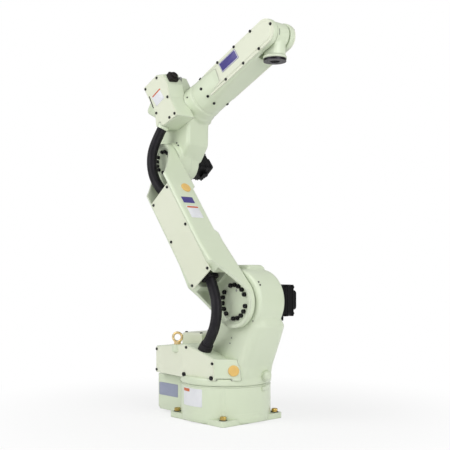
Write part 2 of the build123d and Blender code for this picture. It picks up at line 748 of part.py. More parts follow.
def cable_connector():
    """The square connector on the front slope of the cable box."""
    start = Vector(*DUCT_OUTLINE[2])
    run = Vector(*DUCT_OUTLINE[3]) - start
    middle = start + run * 0.42
    spot = roll_foot + fore_dir * middle.X + fore_up * middle.Y + near * CONNECTOR_Y
    along = fore_dir * run.X + fore_up * run.Y
    seat = Plane(origin=spot, x_dir=along, z_dir=near.cross(along))
    block = extrude(seat * RectangleRounded(CONNECTOR_SIDE, CONNECTOR_SIDE, 6), CONNECTOR_REACH)
    return chamfer(block.faces().sort_by(Axis(spot, seat.z_dir))[-1].edges(), 4)


def stopper_lug():
    """The domed stop on the front of the turntable, which swings over the connector box."""
    lug = Pos(SKIRT_RADIUS + STOP_OUT, STOP_Y, CONNECTOR_TOP + JOINT_GAP) * Box(
        STOP_LENGTH, STOP_WIDTH, STOP_HEIGHT, align=(Align.CENTER, Align.CENTER, Align.MIN)
    )
    return fillet(lug.edges().group_by(Axis.Z)[-1], STOP_ROUND)


base = base_casting()
turntable = turntable_casting()
box = conduit_box() - turntable
top_cover = rear_top_cover() - box - turntable
lower_arm = lower_arm_casting()
upper_arm = upper_arm_casting()
cable_box = rear_box() - upper_arm
cable_box_cover = rear_box_cover()
side_cover = conduit_side_cover() - box - turntable
forearm = forearm_casting()

write(base, "base_casting")
write(base_connector_box(), "base_connector_box")
write(connector_panel(), "connector_panel")
write(swing_bearing(), "swing_bearing")

write(turntable, "turntable_casting")
write(box, "conduit_box")
write(side_cover, "conduit_side_cover")
write(top_cover, "rear_top_cover")
write(eye_bolt(-1) - box, "eye_bolt_near")
write(eye_bolt(1) - box, "eye_bolt_far")
write(shoulder_motor(), "shoulder_motor")
write(stopper_lug() - turntable, "stopper_lug")
write(turntable_plug() - box - turntable, "turntable_plug")
write(hose_boot(lower_route[-1], lower_route[-2], 30) - box - side_cover - turntable, "lower_hose_boot")

write(lower_arm, "lower_arm_casting")
write(lower_arm_cover(), "lower_arm_cover")
write(lower_arm_plug() - lower_arm, "lower_arm_plug")
write(shoulder_reducer(), "shoulder_reducer")
write(hose_boot(lower_route[0], lower_route[1], 16) - lower_arm, "shoulder_hose_boot")
write(hose_boot(upper_route[0], upper_route[1], 16) - lower_arm, "elbow_hose_boot")
write(hose(lower_route), "lower_hose")
write(hose(upper_route), "upper_hose")

write(upper_arm, "upper_arm_casting")
write(elbow_reducer(), "elbow_reducer")
write(elbow_motor(), "elbow_motor")
write(cable_box, "cable_box")
write(cable_box_cover, "cable_box_cover")
write(hose_spout() - cable_box - upper_arm - cable_box_cover, "hose_spout")
write(cable_connector() - cable_box, "cable_connector")

write(roll_bearing(), "roll_bearing")
write(forearm, "forearm_casting")
write(forearm_cover(1) - forearm, "forearm_cover_near")
write(forearm_cover(-1) - forearm, "forearm_cover_far")
write(wrist_casting(), "wrist_casting")
write(tool_flange(), "tool_flange")
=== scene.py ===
import json
import math

import bmesh
import bpy
import numpy as np
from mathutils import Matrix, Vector


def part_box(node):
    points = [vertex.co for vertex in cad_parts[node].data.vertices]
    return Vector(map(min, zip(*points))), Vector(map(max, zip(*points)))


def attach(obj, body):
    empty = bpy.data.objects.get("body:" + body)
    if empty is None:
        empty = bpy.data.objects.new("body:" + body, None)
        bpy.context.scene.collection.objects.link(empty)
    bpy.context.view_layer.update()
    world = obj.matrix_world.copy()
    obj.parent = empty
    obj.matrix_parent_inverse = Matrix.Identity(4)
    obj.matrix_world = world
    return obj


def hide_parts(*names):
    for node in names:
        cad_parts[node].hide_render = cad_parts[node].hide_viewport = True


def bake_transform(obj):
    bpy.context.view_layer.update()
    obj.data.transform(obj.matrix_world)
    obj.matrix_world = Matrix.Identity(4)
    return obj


bl_info = {
    "name": "Robot arm finish",
    "version": (1, 0, 0),
    "blender": (4, 5, 0),
    "location": "3D View > Sidebar > Robot Arm",
    "description": "Paint, hoses, screws and plates of a six axis robot arm, and its studio",
    "category": "Object",
}

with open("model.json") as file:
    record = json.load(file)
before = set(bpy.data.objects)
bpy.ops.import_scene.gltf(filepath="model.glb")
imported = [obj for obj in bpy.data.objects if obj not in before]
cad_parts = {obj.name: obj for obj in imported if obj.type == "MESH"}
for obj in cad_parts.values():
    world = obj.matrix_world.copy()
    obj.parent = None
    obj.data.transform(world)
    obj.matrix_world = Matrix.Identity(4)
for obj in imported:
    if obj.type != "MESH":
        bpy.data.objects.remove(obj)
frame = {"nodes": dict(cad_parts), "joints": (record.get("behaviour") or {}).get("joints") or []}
NODES = frame["nodes"]
# What a line that looks for a node meets: the node itself, or the skin that stands for it
SEATS = dict(NODES)
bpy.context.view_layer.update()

# Lengths are in metres, apart from those that are said to be in millimetres
MM = 0.001
NEAR = np.array([0.0, -1.0, 0.0])
FAR = -NEAR
UP = np.array([0.0, 0.0, 1.0])
AHEAD = np.array([1.0, 0.0, 0.0])


def unit(vectors):
    """Vectors scaled to length one."""
    vectors = np.asarray(vectors, float)
    return vectors / np.linalg.norm(vectors, axis=-1, keepdims=True)


JOINTS = {joint["name"]: joint for joint in frame["joints"]}
SHOULDER = np.array(JOINTS["j2_lower_arm"]["pos_m"], float)
ELBOW = np.array(JOINTS["j3_upper_arm"]["pos_m"], float)
ROLL_FOOT = np.array(JOINTS["j4_forearm_roll"]["pos_m"], float)
WRIST = np.array(JOINTS["j5_wrist_bend"]["pos_m"], float)
ALONG_ARM = unit(ELBOW - SHOULDER)
FRONT_OF_ARM = np.cross(ALONG_ARM, NEAR)
ALONG_FOREARM = unit(JOINTS["j4_forearm_roll"]["axis"])
ABOVE_FOREARM = np.cross(NEAR, ALONG_FOREARM)

# Near faces of the covers, and the floor of the bowls round the shoulder and the elbow
ARM_COVER_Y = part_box("lower_arm_cover")[0].y
DUCT_COVER_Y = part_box("cable_box_cover")[0].y
RAISED_PANEL_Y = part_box("forearm_cover_near")[0].y
BOWL_Y = -0.114

# The base: its drum, the middle of the drum's blank plate, and the top of its square plate
DRUM_RADIUS = 0.195
DRUM_LABEL_TURN = math.radians(-90.4)
BASE_PLATE_TOP = 0.024

# The lower arm's front wall in millimetres from its middle line, and the lean of slanted plates
FRONT_WALL = 84.0
DUCT_PLATE_SLANT = -0.20
FOREARM_PLATE_SLANT = -0.17

# Where the lamps look, how finely a hose is divided, and how near two points are one
ARM_MIDDLE = (0.0, 0.0, 0.8)
RINGS_PER_RIB = 6
HOSE_SIDES = 48
SAME_POINT = 1e-6
WHITE = (1.0, 1.0, 1.0, 1.0)


def on_arm(along, across, y):
    """Points of the lower arm, in millimetres along it and towards its front."""
    along, across = np.atleast_1d(along), np.atleast_1d(across)
    spots = SHOULDER + np.outer(along * MM, ALONG_ARM) + np.outer(across * MM, FRONT_OF_ARM)
    spots[:, 1] = y
    return spots


def on_forearm(along, above, y):
    """Points of the upper arm or forearm, in millimetres along its roll axis and above it."""
    along, above = np.atleast_1d(along), np.atleast_1d(above)
    spots = ROLL_FOOT + np.outer(along * MM, ALONG_FOREARM) + np.outer(above * MM, ABOVE_FOREARM)
    spots[:, 1] = y
    return spots


def land(node, points, toward, back=0.08):
    """Where lines through points first meet a CAD node, or the skin that stands for it, and
    which way its faces look there."""
    toward = unit(toward)
    spots, looks = [], []
    for point in np.atleast_2d(points):
        start = Vector(point - back * toward)
        hit, spot, look, _ = SEATS[node].ray_cast(start, Vector(toward))
        if not hit:
            raise RuntimeError(f"a line towards {toward} from {point} misses {node}")
        look = np.array(look)
        spots.append(np.array(spot))
        looks.append(look if look @ toward < 0 else -look)
    return np.array(spots), np.array(looks)


def axes_of(looks):
    """Two directions square to each look, the first level wherever it can be."""
    looks = unit(np.atleast_2d(looks))
    upright = np.abs(looks @ UP)[:, None] > 0.9
    first = unit(np.cross(np.where(upright, np.array([0.0, 1.0, 0.0]), UP), looks))
    return first, np.cross(looks, first), looks


def profile(*rows):
    """Rows of radius and height in millimetres, with a one after them where the ring is a
    hexagon, as the rows in metres of a turned piece."""
    return np.array([(row[0] * MM, row[1] * MM, *(row[2:] or (0,))) for row in rows])


def turned(rows, spots, looks, around=24):
    """Turned pieces: a profile of radius and height is carried round the axis at each spot.
    Where a row's third number is one, its circle is drawn out to a hexagon of that inner radius:
    the radius is divided by the cosine of the angle from the middle of the nearest side."""
    rows = np.asarray(rows, float)
    spots = np.atleast_2d(spots)
    first, second, out = (axis[:, None, None] for axis in axes_of(looks))
    angle = np.linspace(0, 2 * math.pi, around, endpoint=False)
    hexagon = 1 / np.cos(np.mod(angle, math.pi / 3) - math.pi / 6)
    radius = rows[:, 0, None] * (1 + rows[:, 2, None] * (hexagon - 1))
    x, y = (radius * np.cos(angle))[None, ..., None], (radius * np.sin(angle))[None, ..., None]
    height = np.broadcast_to(rows[:, 1, None], radius.shape)[None, ..., None]
    return spots[:, None, None] + x * first + y * second + height * out


def turned_ring(rows, spot, look, around):
    """A turned piece with a hole through it: its profile's last row goes round to its first."""
    skin = turned(rows, spot, look, around)
    return np.concatenate([skin, skin[:, :1]], 1)


def cap_screw(radius, height):
    """Profile of a socket head cap screw, from the floor of its hexagon socket to its seat."""
    socket, rim = 0.48 * radius, 0.12 * radius
    floor, seat = 0.35 * height, -0.25 * height
    return [
        (0, floor, 1), (socket, floor, 1), (socket, height, 1), (radius - rim, height, 0),
        (radius - 0.3 * rim, height - 0.35 * rim, 0), (radius, height - rim, 0),
        (radius, seat, 0), (0, seat, 0),
    ]


def hexagon_head(inner, low, high):
    """Profile of a hexagon bolt head with its chamfered top and its round collar."""
    return [
        (0, high, 0), (0.86 * inner, high, 0), (0.97 * inner, high - 0.08 * inner, 0.4),
        (inner, high - 0.18 * inner, 1), (inner, low + 0.12 * inner, 1),
        (1.12 * inner, low + 0.1 * inner, 0), (1.12 * inner, low, 0), (0, low, 0),
    ]


def button(radius, height):
    """Profile of a low domed rivet or plug: a quarter of an ellipse on a short foot."""
    lift = np.linspace(math.pi / 2, 0, 6)
    dome = [(radius * math.cos(a), height * math.sin(a), 0) for a in lift]
    return dome + [(radius, -0.3 * height, 0), (0, -0.3 * height, 0)]


def plate(middle, across, up, half_width, half_height, corner, rise, slant=0.0, rings=1):
    """A thin plate with round corners: each ring is a rounded rectangle, a square's outline
    drawn in to its corner circles. Rings grow from the middle, roll over the edge and go down.
    A slant moves each point along the width by that share of its height."""
    side = np.sin(np.linspace(-math.pi / 2, math.pi / 2, 11))[:-1]
    ones = np.ones_like(side)
    sides = (side, -ones), (ones, side), (-side, ones), (-ones, -side)
    square = np.concatenate([np.stack(pair, 1) for pair in sides])
    half = np.array([half_width, half_height])
    bevel = 0.45 * rise
    rows = [(0, rise, share) for share in np.linspace(0, 1, rings + 1)[:-1]]
    rows += [(bevel, rise, 1), (0.3 * bevel, rise - 0.3 * bevel, 1), (0, rise - bevel, 1)]
    rows += [(0, 0, 1), (0, 0, 0)]
    inset, height, share = (column[:, None, None] for column in np.array(rows).T)
    box, sharp = half - corner, square * half
    base = np.clip(sharp, -box, box)
    flat = share * (base + (corner - inset) * unit(sharp - base))
    across, up = unit(across), unit(up)
    wide = flat[..., :1] + slant * flat[..., 1:]
    return middle + wide * across + flat[..., 1:] * up + height * np.cross(across, up)


def round_drum(points):
    """Bends a flat plate round the upright drum: its width, divided by the drum's radius,
    becomes an angle, and its rise is added to the radius."""
    turn = DRUM_LABEL_TURN + points[..., 0] / DRUM_RADIUS
    reach = DRUM_RADIUS + points[..., 1]
    return np.stack([reach * np.cos(turn), reach * np.sin(turn), points[..., 2]], -1)


def block(middle, first, second, lengths, rounding):
    """A solid block with soft edges: the points of a ball are pushed out to a box, held back
    inside it by the rounding, and moved out again by that much along their own directions."""
    lift = np.linspace(math.pi / 2, -math.pi / 2, 17)[:, None]
    turn = np.linspace(0, 2 * math.pi, 32, endpoint=False)[None]
    ball = np.stack(
        [np.cos(lift) * np.cos(turn), np.cos(lift) * np.sin(turn), np.sin(lift) + 0 * turn], -1
    )
    cube = ball / np.max(np.abs(ball), -1, keepdims=True)
    half = np.asarray(lengths, float) / 2
    core = np.clip(cube * half, -(half - rounding), half - rounding)
    local = core + rounding * unit(cube * half - core + 1e-9 * ball)
    first, second = unit(first), unit(second)
    third = np.cross(first, second)
    return middle + local[..., :1] * first + local[..., 1:2] * second + local[..., 2:] * third


def capped(skin):
    """A skin with each of its end rings drawn together to its middle, which closes it."""
    ends = [np.repeat(ring.mean(0)[None, None], skin.shape[1], 1) for ring in skin[[0, -1]]]
    return np.concatenate([ends[0], skin, ends[1]])


def corners(wide, high):
    """The four corners of a rectangle round nought, from half its width and half its height."""
    return np.array([(x, y) for x in (-wide, wide) for y in (-high, high)])


def sizes():
    """The sizes that the user may change."""
    return bpy.context.scene.arm_sizes


def material(name):
    """A finish made by the operator of the finishes."""
    return bpy.data.materials[name]


def make_piece(name, finish, body, slot, *skins, crease=35.0):
    """One mesh from closed skins of rings: neighbouring rings are joined by four sided faces,
    and a ring drawn together to a point closes the end. Edges sharper than the crease angle
    stay sharp. The piece rides on its body and takes the finish that is named. Its slot is not
    used."""
    points, faces, start = [], [], 0
    for skin in skins:
        rings, around = skin.shape[-3:-1]
        copies = skin.reshape(-1, rings * around, 3)
        ring, step = np.meshgrid(np.arange(rings - 1), np.arange(around), indexing="ij")
        after = (step + 1) % around
        low, high = ring * around, (ring + 1) * around
        quads = np.stack([low + step, high + step, high + after, low + after], -1).reshape(-1, 4)
        offsets = start + np.arange(len(copies)) * rings * around
        faces.append((offsets[:, None, None] + quads).reshape(-1, 4))
        points.append(copies.reshape(-1, 3))
        start += copies.shape[0] * rings * around
    mesh = bpy.data.meshes.new(name)
    mesh.from_pydata(np.concatenate(points).tolist(), [], np.concatenate(faces).tolist())
    shell = bmesh.new()
    shell.from_mesh(mesh)
    bmesh.ops.remove_doubles(shell, verts=shell.verts, dist=SAME_POINT)
    bmesh.ops.recalc_face_normals(shell, faces=shell.faces)
    shell.to_mesh(mesh)
    shell.free()
    mesh.shade_smooth()
    mesh.set_sharp_from_angle(angle=math.radians(crease))
    mesh.materials.append(material(finish))
    piece = bpy.data.objects.new(name, mesh)
    bpy.context.scene.collection.objects.link(piece)
    if body:
        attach(piece, body)
    return piece


class Varying:
    """A number that varies over a surface. Sums and products of it add Math nodes."""

    def __init__(self, nodes, socket):
        self.nodes = nodes
        self.socket = socket

    def math(self, operation, first, second):
        made = self.nodes.node("ShaderNodeMath", {"operation": operation}, {0: first, 1: second})
        return Varying(self.nodes, made.outputs[0])

    def __add__(self, other):
        return self.math("ADD", self, other)

    def __radd__(self, other):
        return self.math("ADD", other, self)

    def __sub__(self, other):
        return self.math("SUBTRACT", self, other)

    def __rsub__(self, other):
        return self.math("SUBTRACT", other, self)

    def __mul__(self, other):
        return self.math("MULTIPLY", self, other)

    def __rmul__(self, other):
        return self.math("MULTIPLY", other, self)

    def or_more(self, other):
        """The larger of the two."""
        return self.math("MAXIMUM", self, other)

    def between(self, low, high):
        """A smooth step from nought at low to one at high."""
        made = self.nodes.node(
            "ShaderNodeMapRange",
            {"interpolation_type": "SMOOTHSTEP"},
            {"Value": self, "From Min": low, "From Max": high},
        )
        return Varying(self.nodes, made.outputs["Result"])


# Names of the surface's sockets that a finish sets to a constant
LABELS = {
    "roughness": "Roughness",
    "metallic": "Metallic",
    "specular": "Specular IOR Level",
    "coat_weight": "Coat Weight",
    "coat_roughness": "Coat Roughness",
}

# Sockets of a Mix node that mixes colours, which have the same name and so need their numbers
MIX_SHARE, MIX_FIRST, MIX_SECOND, MIX_COLOUR = 0, 6, 7, 2


class Nodes:
    """A node tree being made."""

    def __init__(self, tree):
        self.tree = tree

    def node(self, kind, settings=None, inputs=None):
        """Adds a node: its settings first, then the values or links of its sockets."""
        made = self.tree.nodes.new(kind)
        for key, value in (settings or {}).items():
            setattr(made, key, value)
        for key, value in (inputs or {}).items():
            if isinstance(value, Varying):
                value = value.socket
            if isinstance(value, bpy.types.NodeSocket):
                self.tree.links.new(value, made.inputs[key])
            else:
                made.inputs[key].default_value = value
        return made

    def seen_or(self, ray):
        """One where the camera sees the surface, or where a ray of that kind does."""
        made = self.node("ShaderNodeLightPath")
        return Varying(self, made.outputs["Is Camera Ray"]).or_more(made.outputs[ray])

    def end_with(self, share, first, second, end):
        """Mixes two shaders by a share and links them to the end of the tree."""
        mix = self.node("ShaderNodeMixShader", None, {0: share, 1: first, 2: second})
        self.tree.links.new(mix.outputs[0], self.tree.nodes[end].inputs["Surface"])


class Finish(Nodes):
    """A material being made, with short ways to add what varies over its surface."""

    def __init__(self, name, colour, **constants):
        if name in bpy.data.materials:
            raise RuntimeError(f"there is a material named {name} already")
        self.material = bpy.data.materials.new(name)
        self.material.use_nodes = True
        super().__init__(self.material.node_tree)
        self.surface = self.tree.nodes["Principled BSDF"]
        self.surface.inputs["Base Color"].default_value = (*colour, 1)
        self.material.diffuse_color = (*colour, 1)
        for label, value in constants.items():
            self.surface.inputs[LABELS[label]].default_value = value
        self.place = self.node("ShaderNodeTexCoord").outputs["Object"]

    def noise(self, scale, detail, place=None):
        """Smooth noise from nought to one, with that many ripples a metre."""
        made = self.node(
            "ShaderNodeTexNoise", None,
            {"Vector": place or self.place, "Scale": scale, "Detail": detail},
        )
        return Varying(self, made.outputs["Fac"])

    def stretched(self, factors):
        """Object coordinates squeezed along the axes, for a grain that runs one way."""
        made = self.node("ShaderNodeMapping", None, {"Vector": self.place, "Scale": factors})
        return made.outputs["Vector"]

    def blend_colours(self, share, first, second):
        """The first colour where the share is nought, the second where it is one."""
        inputs = {MIX_SHARE: share}
        for key, value in ((MIX_FIRST, first), (MIX_SECOND, second)):
            inputs[key] = value if isinstance(value, bpy.types.NodeSocket) else (*value, 1)
        return self.node("ShaderNodeMix", {"data_type": "RGBA"}, inputs).outputs[MIX_COLOUR]

    def soft_edges(self, radius):
        """The surface's look with its edges rounded off, and a mask of those edges."""
        bevel = self.node("ShaderNodeBevel", {"samples": 6}, {"Radius": radius})
        look = self.node("ShaderNodeNewGeometry").outputs["Normal"]
        along = self.node(
            "ShaderNodeVectorMath", {"operation": "DOT_PRODUCT"}, {0: bevel.outputs[0], 1: look}
        )
        edge = 1 - Varying(self, along.outputs["Value"])
        return bevel.outputs[0], edge.between(0.004, 0.10)

    def creases(self, reach):
        """One deep in a crease and nought on an open face, from ambient occlusion: the mask for
        painted shade.
        """
        made = self.node("ShaderNodeAmbientOcclusion", {"samples": 8}, {"Distance": reach})
        return (1 - Varying(self, made.outputs["AO"])).between(0.25, 0.95)

    def relief(self, height, depth, look=None):
        """Links a height map to the surface's normal, on top of a rounded look."""
        inputs = {"Height": height, "Distance": depth, "Strength": 1.0}
        if look:
            inputs["Normal"] = look
        made = self.node("ShaderNodeBump", None, inputs)
        self.put("Normal", made.outputs["Normal"])

    def put(self, socket, value):
        """Links what varies to a socket of the surface."""
        value = value.socket if isinstance(value, Varying) else value
        self.tree.links.new(value, self.surface.inputs[socket])


def shade_of(colour, *factors):
    """A colour with its red, green and blue scaled."""
    return tuple(part * factor for part, factor in zip(colour, factors))


# Colours that an edge, a scratch or dust takes. The pale edges of the paint and of the black
# finishes are wear and painted highlight, and the bright gold edge of the zinc is a painted
# highlight
PAINT_EDGE_WEAR_AND_HIGHLIGHT = (0.93, 0.93, 0.86)
BLACK_EDGE_RUB_AND_HIGHLIGHT = (0.05, 0.05, 0.055)
HOSE_DUST = (0.045, 0.038, 0.05)
ZINC_EDGE_HIGHLIGHT = (0.90, 0.80, 0.52)
BRIGHT_STEEL = (0.72, 0.72, 0.72)
RUBBED_PLASTIC = (0.9, 0.9, 0.88)


def paint(name, colour, grain, edge_radius):
    """Gloss paint on a casting or a folded sheet: faint mottling, painted shade that makes the
    creases darker and greener, edges painted pale as wear and as a painted highlight, over
    orange peel and the grain of the metal beneath."""
    finish = Finish(name, colour, roughness=0.36, coat_weight=0.25, coat_roughness=0.12)
    look, edge = finish.soft_edges(edge_radius)
    mottle = finish.noise(5.0, 4.0).between(0.35, 0.68)
    mottled = finish.blend_colours(mottle * 0.5, colour, shade_of(colour, 0.945, 0.965, 0.925))
    # Painted shade: the paint turns darker and greener where ambient occlusion finds a crease
    deep = finish.creases(0.07)
    shaded = finish.blend_colours(deep * 0.22, mottled, shade_of(colour, 0.66, 0.74, 0.57))
    # Wear and painted highlight: the paint is painted paler along its edges
    finish.put("Base Color", finish.blend_colours(edge * 0.22, shaded, PAINT_EDGE_WEAR_AND_HIGHLIGHT))
    finish.put("Roughness", 0.34 + 0.10 * finish.noise(34.0, 3.0) - 0.06 * edge)
    cast = finish.noise(430.0, 3.0) * grain
    peel = finish.noise(150.0, 1.0) * 0.55
    finish.relief(cast + peel, 0.00022, look)
    return finish.material


def black_casing(name, colour, roughness, grain):
    """Black paint or moulding with a fine grain, its edges painted a little bright as rubbing and
    as a painted highlight.
    """
    finish = Finish(name, colour, roughness=roughness, specular=0.16)
    look, edge = finish.soft_edges(0.0018)
    dust = finish.noise(40.0, 5.0).between(0.45, 0.8)
    dusty = finish.blend_colours(dust * 0.35, colour, shade_of(colour, 2.4, 2.3, 2.2))
    # Rubbing and painted highlight: the edges are painted a lighter black
    finish.put("Base Color", finish.blend_colours(edge * 0.4, dusty, BLACK_EDGE_RUB_AND_HIGHLIGHT))
    finish.put("Roughness", roughness + 0.12 * finish.noise(90.0, 3.0) - 0.08 * edge)
    finish.relief(finish.noise(1100.0, 2.0) * grain, 0.00025, look)
    return finish.material


def hose_rubber(colour):
    """Ribbed hose: dull black with a violet cast and fine pale dust in streaks along it."""
    finish = Finish("hose_rubber_ribbed", colour, roughness=0.34, specular=0.26)
    dust = finish.noise(520.0, 2.0).between(0.55, 0.75)
    streak = finish.noise(1.0, 3.0, finish.stretched((60.0, 60.0, 14.0))).between(0.45, 0.75)
    share = dust * 0.25 + streak * 0.2
    finish.put("Base Color", finish.blend_colours(share, colour, HOSE_DUST))
    finish.put("Roughness", 0.27 + 0.16 * finish.noise(70.0, 4.0))
    finish.relief(finish.noise(1500.0, 2.0), 0.00012)
    return finish.material


def yellow_zinc(name, colour):
    """Steel plated with zinc and passivated: gold that drifts to straw and to rose."""
    finish = Finish(name, colour, metallic=0.92, roughness=0.3)
    look, edge = finish.soft_edges(0.0012)
    drift = finish.noise(38.0, 3.0)
    straw, rose = shade_of(colour, 0.98, 1.12, 1.4), shade_of(colour, 0.82, 0.64, 0.9)
    plating = finish.blend_colours(drift.between(0.42, 0.62), colour, straw)
    plating = finish.blend_colours(drift.between(0.58, 0.8) * 0.6, plating, rose)
    # Painted highlight: the edges are painted a brighter gold
    finish.put("Base Color", finish.blend_colours(edge * 0.3, plating, ZINC_EDGE_HIGHLIGHT))
    finish.put("Roughness", 0.24 + 0.2 * finish.noise(120.0, 4.0))
    finish.relief(finish.noise(800.0, 2.0), 0.00008, look)
    return finish.material


def bare_steel(name, colour, roughness, stretch):
    """Ground or blackened steel with fine tool marks that run one way."""
    finish = Finish(name, colour, metallic=1.0, roughness=roughness)
    look, edge = finish.soft_edges(0.0012)
    marks = finish.noise(9.0, 5.0, finish.stretched(stretch))
    worn = finish.blend_colours(marks.between(0.3, 0.7), shade_of(colour, 0.8, 0.8, 0.8), colour)
    finish.put("Base Color", finish.blend_colours(edge * 0.4, worn, BRIGHT_STEEL))
    finish.put("Roughness", roughness + 0.16 * marks)
    finish.relief(marks, 0.00006, look)
    return finish.material


def moulded(name, colour, roughness):
    """Moulded plastic or printed film: even colour, with a soft fine grain and faint handling."""
    finish = Finish(name, colour, roughness=roughness, specular=0.45)
    look, edge = finish.soft_edges(0.0015)
    handled = finish.noise(26.0, 4.0).between(0.4, 0.75)
    tone = finish.blend_colours(handled * 0.45, colour, shade_of(colour, 0.88, 0.88, 0.9))
    finish.put("Base Color", finish.blend_colours(edge * 0.18, tone, RUBBED_PLASTIC))
    finish.put("Roughness", roughness + 0.12 * finish.noise(60.0, 3.0))
    finish.relief(finish.noise(900.0, 2.0), 0.00008, look)
    return finish.material


def colour_property(label, note, value):
    """A colour that the user may change."""
    return bpy.props.FloatVectorProperty(
        name=label, description=note, default=value, subtype="COLOR", min=0.0, max=1.0
    )


def length_property(label, note, value):
    """A length in metres that the user may change."""
    return bpy.props.FloatProperty(
        name=label, description=note, default=value, unit="LENGTH", min=0.0001, precision=4
    )


def number_property(label, note, value, unit="NONE"):
    """A number that the user may change."""
    return bpy.props.FloatProperty(name=label, description=note, default=value, unit=unit)


class ArmColours(bpy.types.PropertyGroup):
    """Colours of the arm's finishes."""

    casting: colour_property("Casting paint", "Paint on the castings", (0.655, 0.725, 0.555))
    cover: colour_property("Cover paint", "Paint on the folded covers", (0.745, 0.775, 0.625))
    motor: colour_property("Motor black", "Paint on the motors", (0.0030, 0.0030, 0.0036))
    hose: colour_property("Hose black", "Rubber of the hoses", (0.0060, 0.0050, 0.0080))
    zinc: colour_property("Yellow zinc", "Plating of the eye bolts", (0.80, 0.58, 0.27))
    # Painted shade: the anchor bolts' zinc is a darker copy of the eye bolts' zinc, for bolts down
    # in their counterbores
    bolt: colour_property("Bolt zinc", "Darker plating of the anchor bolts", (0.52, 0.35, 0.09))
    plug: colour_property("Plug yellow", "Moulded plugs", (0.76, 0.49, 0.15))
    blue: colour_property("Plate blue", "Blank plates on the arms", (0.060, 0.048, 0.235))
    violet: colour_property("Plate violet", "Blank plate on the base", (0.31, 0.335, 0.45))
    white: colour_property("Plate white", "Blank white plates", (0.76, 0.77, 0.80))
    band: colour_property("Band orange", "Plain bands on the white plates", (0.60, 0.135, 0.04))


class ArmSizes(bpy.types.PropertyGroup):
    """Sizes of the arm's small parts."""

    hose_diameter: length_property("Hose diameter", "Outside diameter of both hoses", 0.045)
    hose_pitch: length_property("Hose pitch", "Distance from rib to rib", 0.0042)
    rib_depth: length_property("Rib depth", "How deep the grooves between ribs are", 0.0009)
    cover_screw: length_property("Cover screw", "Head radius of the cover screws", 0.0060)
    shoulder_bolt: length_property("Shoulder bolt", "Head radius in the shoulder ring", 0.0090)
    elbow_bolt: length_property("Elbow bolt", "Head radius in the elbow ring", 0.0080)
    shoulder_ring: length_property("Shoulder ring", "Radius of the shoulder's bolt ring", 0.069)
    elbow_ring: length_property("Elbow ring", "Radius of the elbow's bolt ring", 0.047)
    anchor_inner: length_property("Anchor bolt", "Half the width across its flats", 0.0120)
    anchor_pitch: length_property("Anchor pitch", "Distance between anchor bolts", 0.300)
    plate_rise: length_property("Plate rise", "How far a plate stands off its seat", 0.0011)


class StudioSettings(bpy.types.PropertyGroup):
    """The stage, its light and the camera."""

    floor: colour_property("Floor", "Colour of the floor", (0.90, 0.90, 0.90))
    floor_radius: number_property("Floor radius", "Radius of the floor", 9.0, "LENGTH")
    key_power: number_property("Key light", "Power of the light on the near side", 80.0, "POWER")
    fill_power: number_property("Fill light", "Power of the light in front", 64.0, "POWER")
    room_strength: number_property("Room light", "Strength of the room's even light", 0.50)
    lens: number_property("Lens", "Focal length", 64.0, "CAMERA")


def colour(name):
    """A colour that the user may change, by its name."""
    return tuple(getattr(bpy.context.scene.arm_colours, name))


CASTINGS = (
    "base_casting", "base_connector_box", "turntable_casting", "conduit_box", "stopper_lug",
    "lower_arm_casting", "upper_arm_casting", "cable_box", "hose_spout", "forearm_casting",
    "wrist_casting",
)
COVERS = (
    "conduit_side_cover", "rear_top_cover", "lower_arm_cover", "cable_box_cover",
    "forearm_cover_near", "forearm_cover_far",
)
OTHER_FINISHES = {
    "motor_paint": ("shoulder_motor", "elbow_motor"),
    "boot_rubber": ("lower_hose_boot", "shoulder_hose_boot", "elbow_hose_boot"),
    "yellow_zinc": ("eye_bolt_near", "eye_bolt_far"),
    "turned_steel": ("swing_bearing", "shoulder_reducer", "elbow_reducer", "roll_bearing"),
    "connector_moulding": ("cable_connector",),
    "plug_moulding": ("turntable_plug", "lower_arm_plug"),
    "panel_steel": ("connector_panel",),
    "black_oxide": ("tool_flange",),
}


class ARM_OT_finishes(bpy.types.Operator):
    """Make every finish and put it on the castings, covers, motors and fittings"""

    bl_idname = "arm.finishes"
    bl_label = "Finishes"

    def execute(self, context):
        paint("mint_casting", colour("casting"), 0.75, 0.0080)
        paint("mint_cover", colour("cover"), 0.25, 0.0016)
        black_casing("motor_paint", colour("motor"), 0.38, 1.0)
        black_casing("boot_rubber", (0.016, 0.015, 0.017), 0.50, 0.6)
        black_casing("connector_moulding", (0.014, 0.011, 0.011), 0.34, 0.4)
        hose_rubber(colour("hose"))
        yellow_zinc("yellow_zinc", colour("zinc"))
        # Painted shade: a darker copy of the yellow zinc, for the anchor bolts
        yellow_zinc("bolt_zinc", colour("bolt"))
        bare_steel("turned_steel", (0.50, 0.50, 0.49), 0.28, (1.0, 40.0, 1.0))
        bare_steel("black_oxide", (0.030, 0.027, 0.032), 0.30, (6.0, 6.0, 60.0))
        bare_steel("screw_black", (0.016, 0.016, 0.017), 0.38, (30.0, 30.0, 30.0))
        bare_steel("fitting_steel", (0.46, 0.46, 0.45), 0.30, (20.0, 20.0, 20.0))
        moulded("plug_moulding", colour("plug"), 0.34)
        moulded("panel_steel", (0.20, 0.205, 0.205), 0.45)
        moulded("plate_blue", colour("blue"), 0.32)
        moulded("plate_violet", colour("violet"), 0.38)
        moulded("plate_white", colour("white"), 0.36)
        moulded("plate_band", colour("band"), 0.36)
        groups = {"mint_casting": CASTINGS, "mint_cover": COVERS, **OTHER_FINISHES}
        for name, nodes in groups.items():
            for node in nodes:
                for place in NODES[node].material_slots:
                    place.material = material(name)
        return {"FINISHED"}


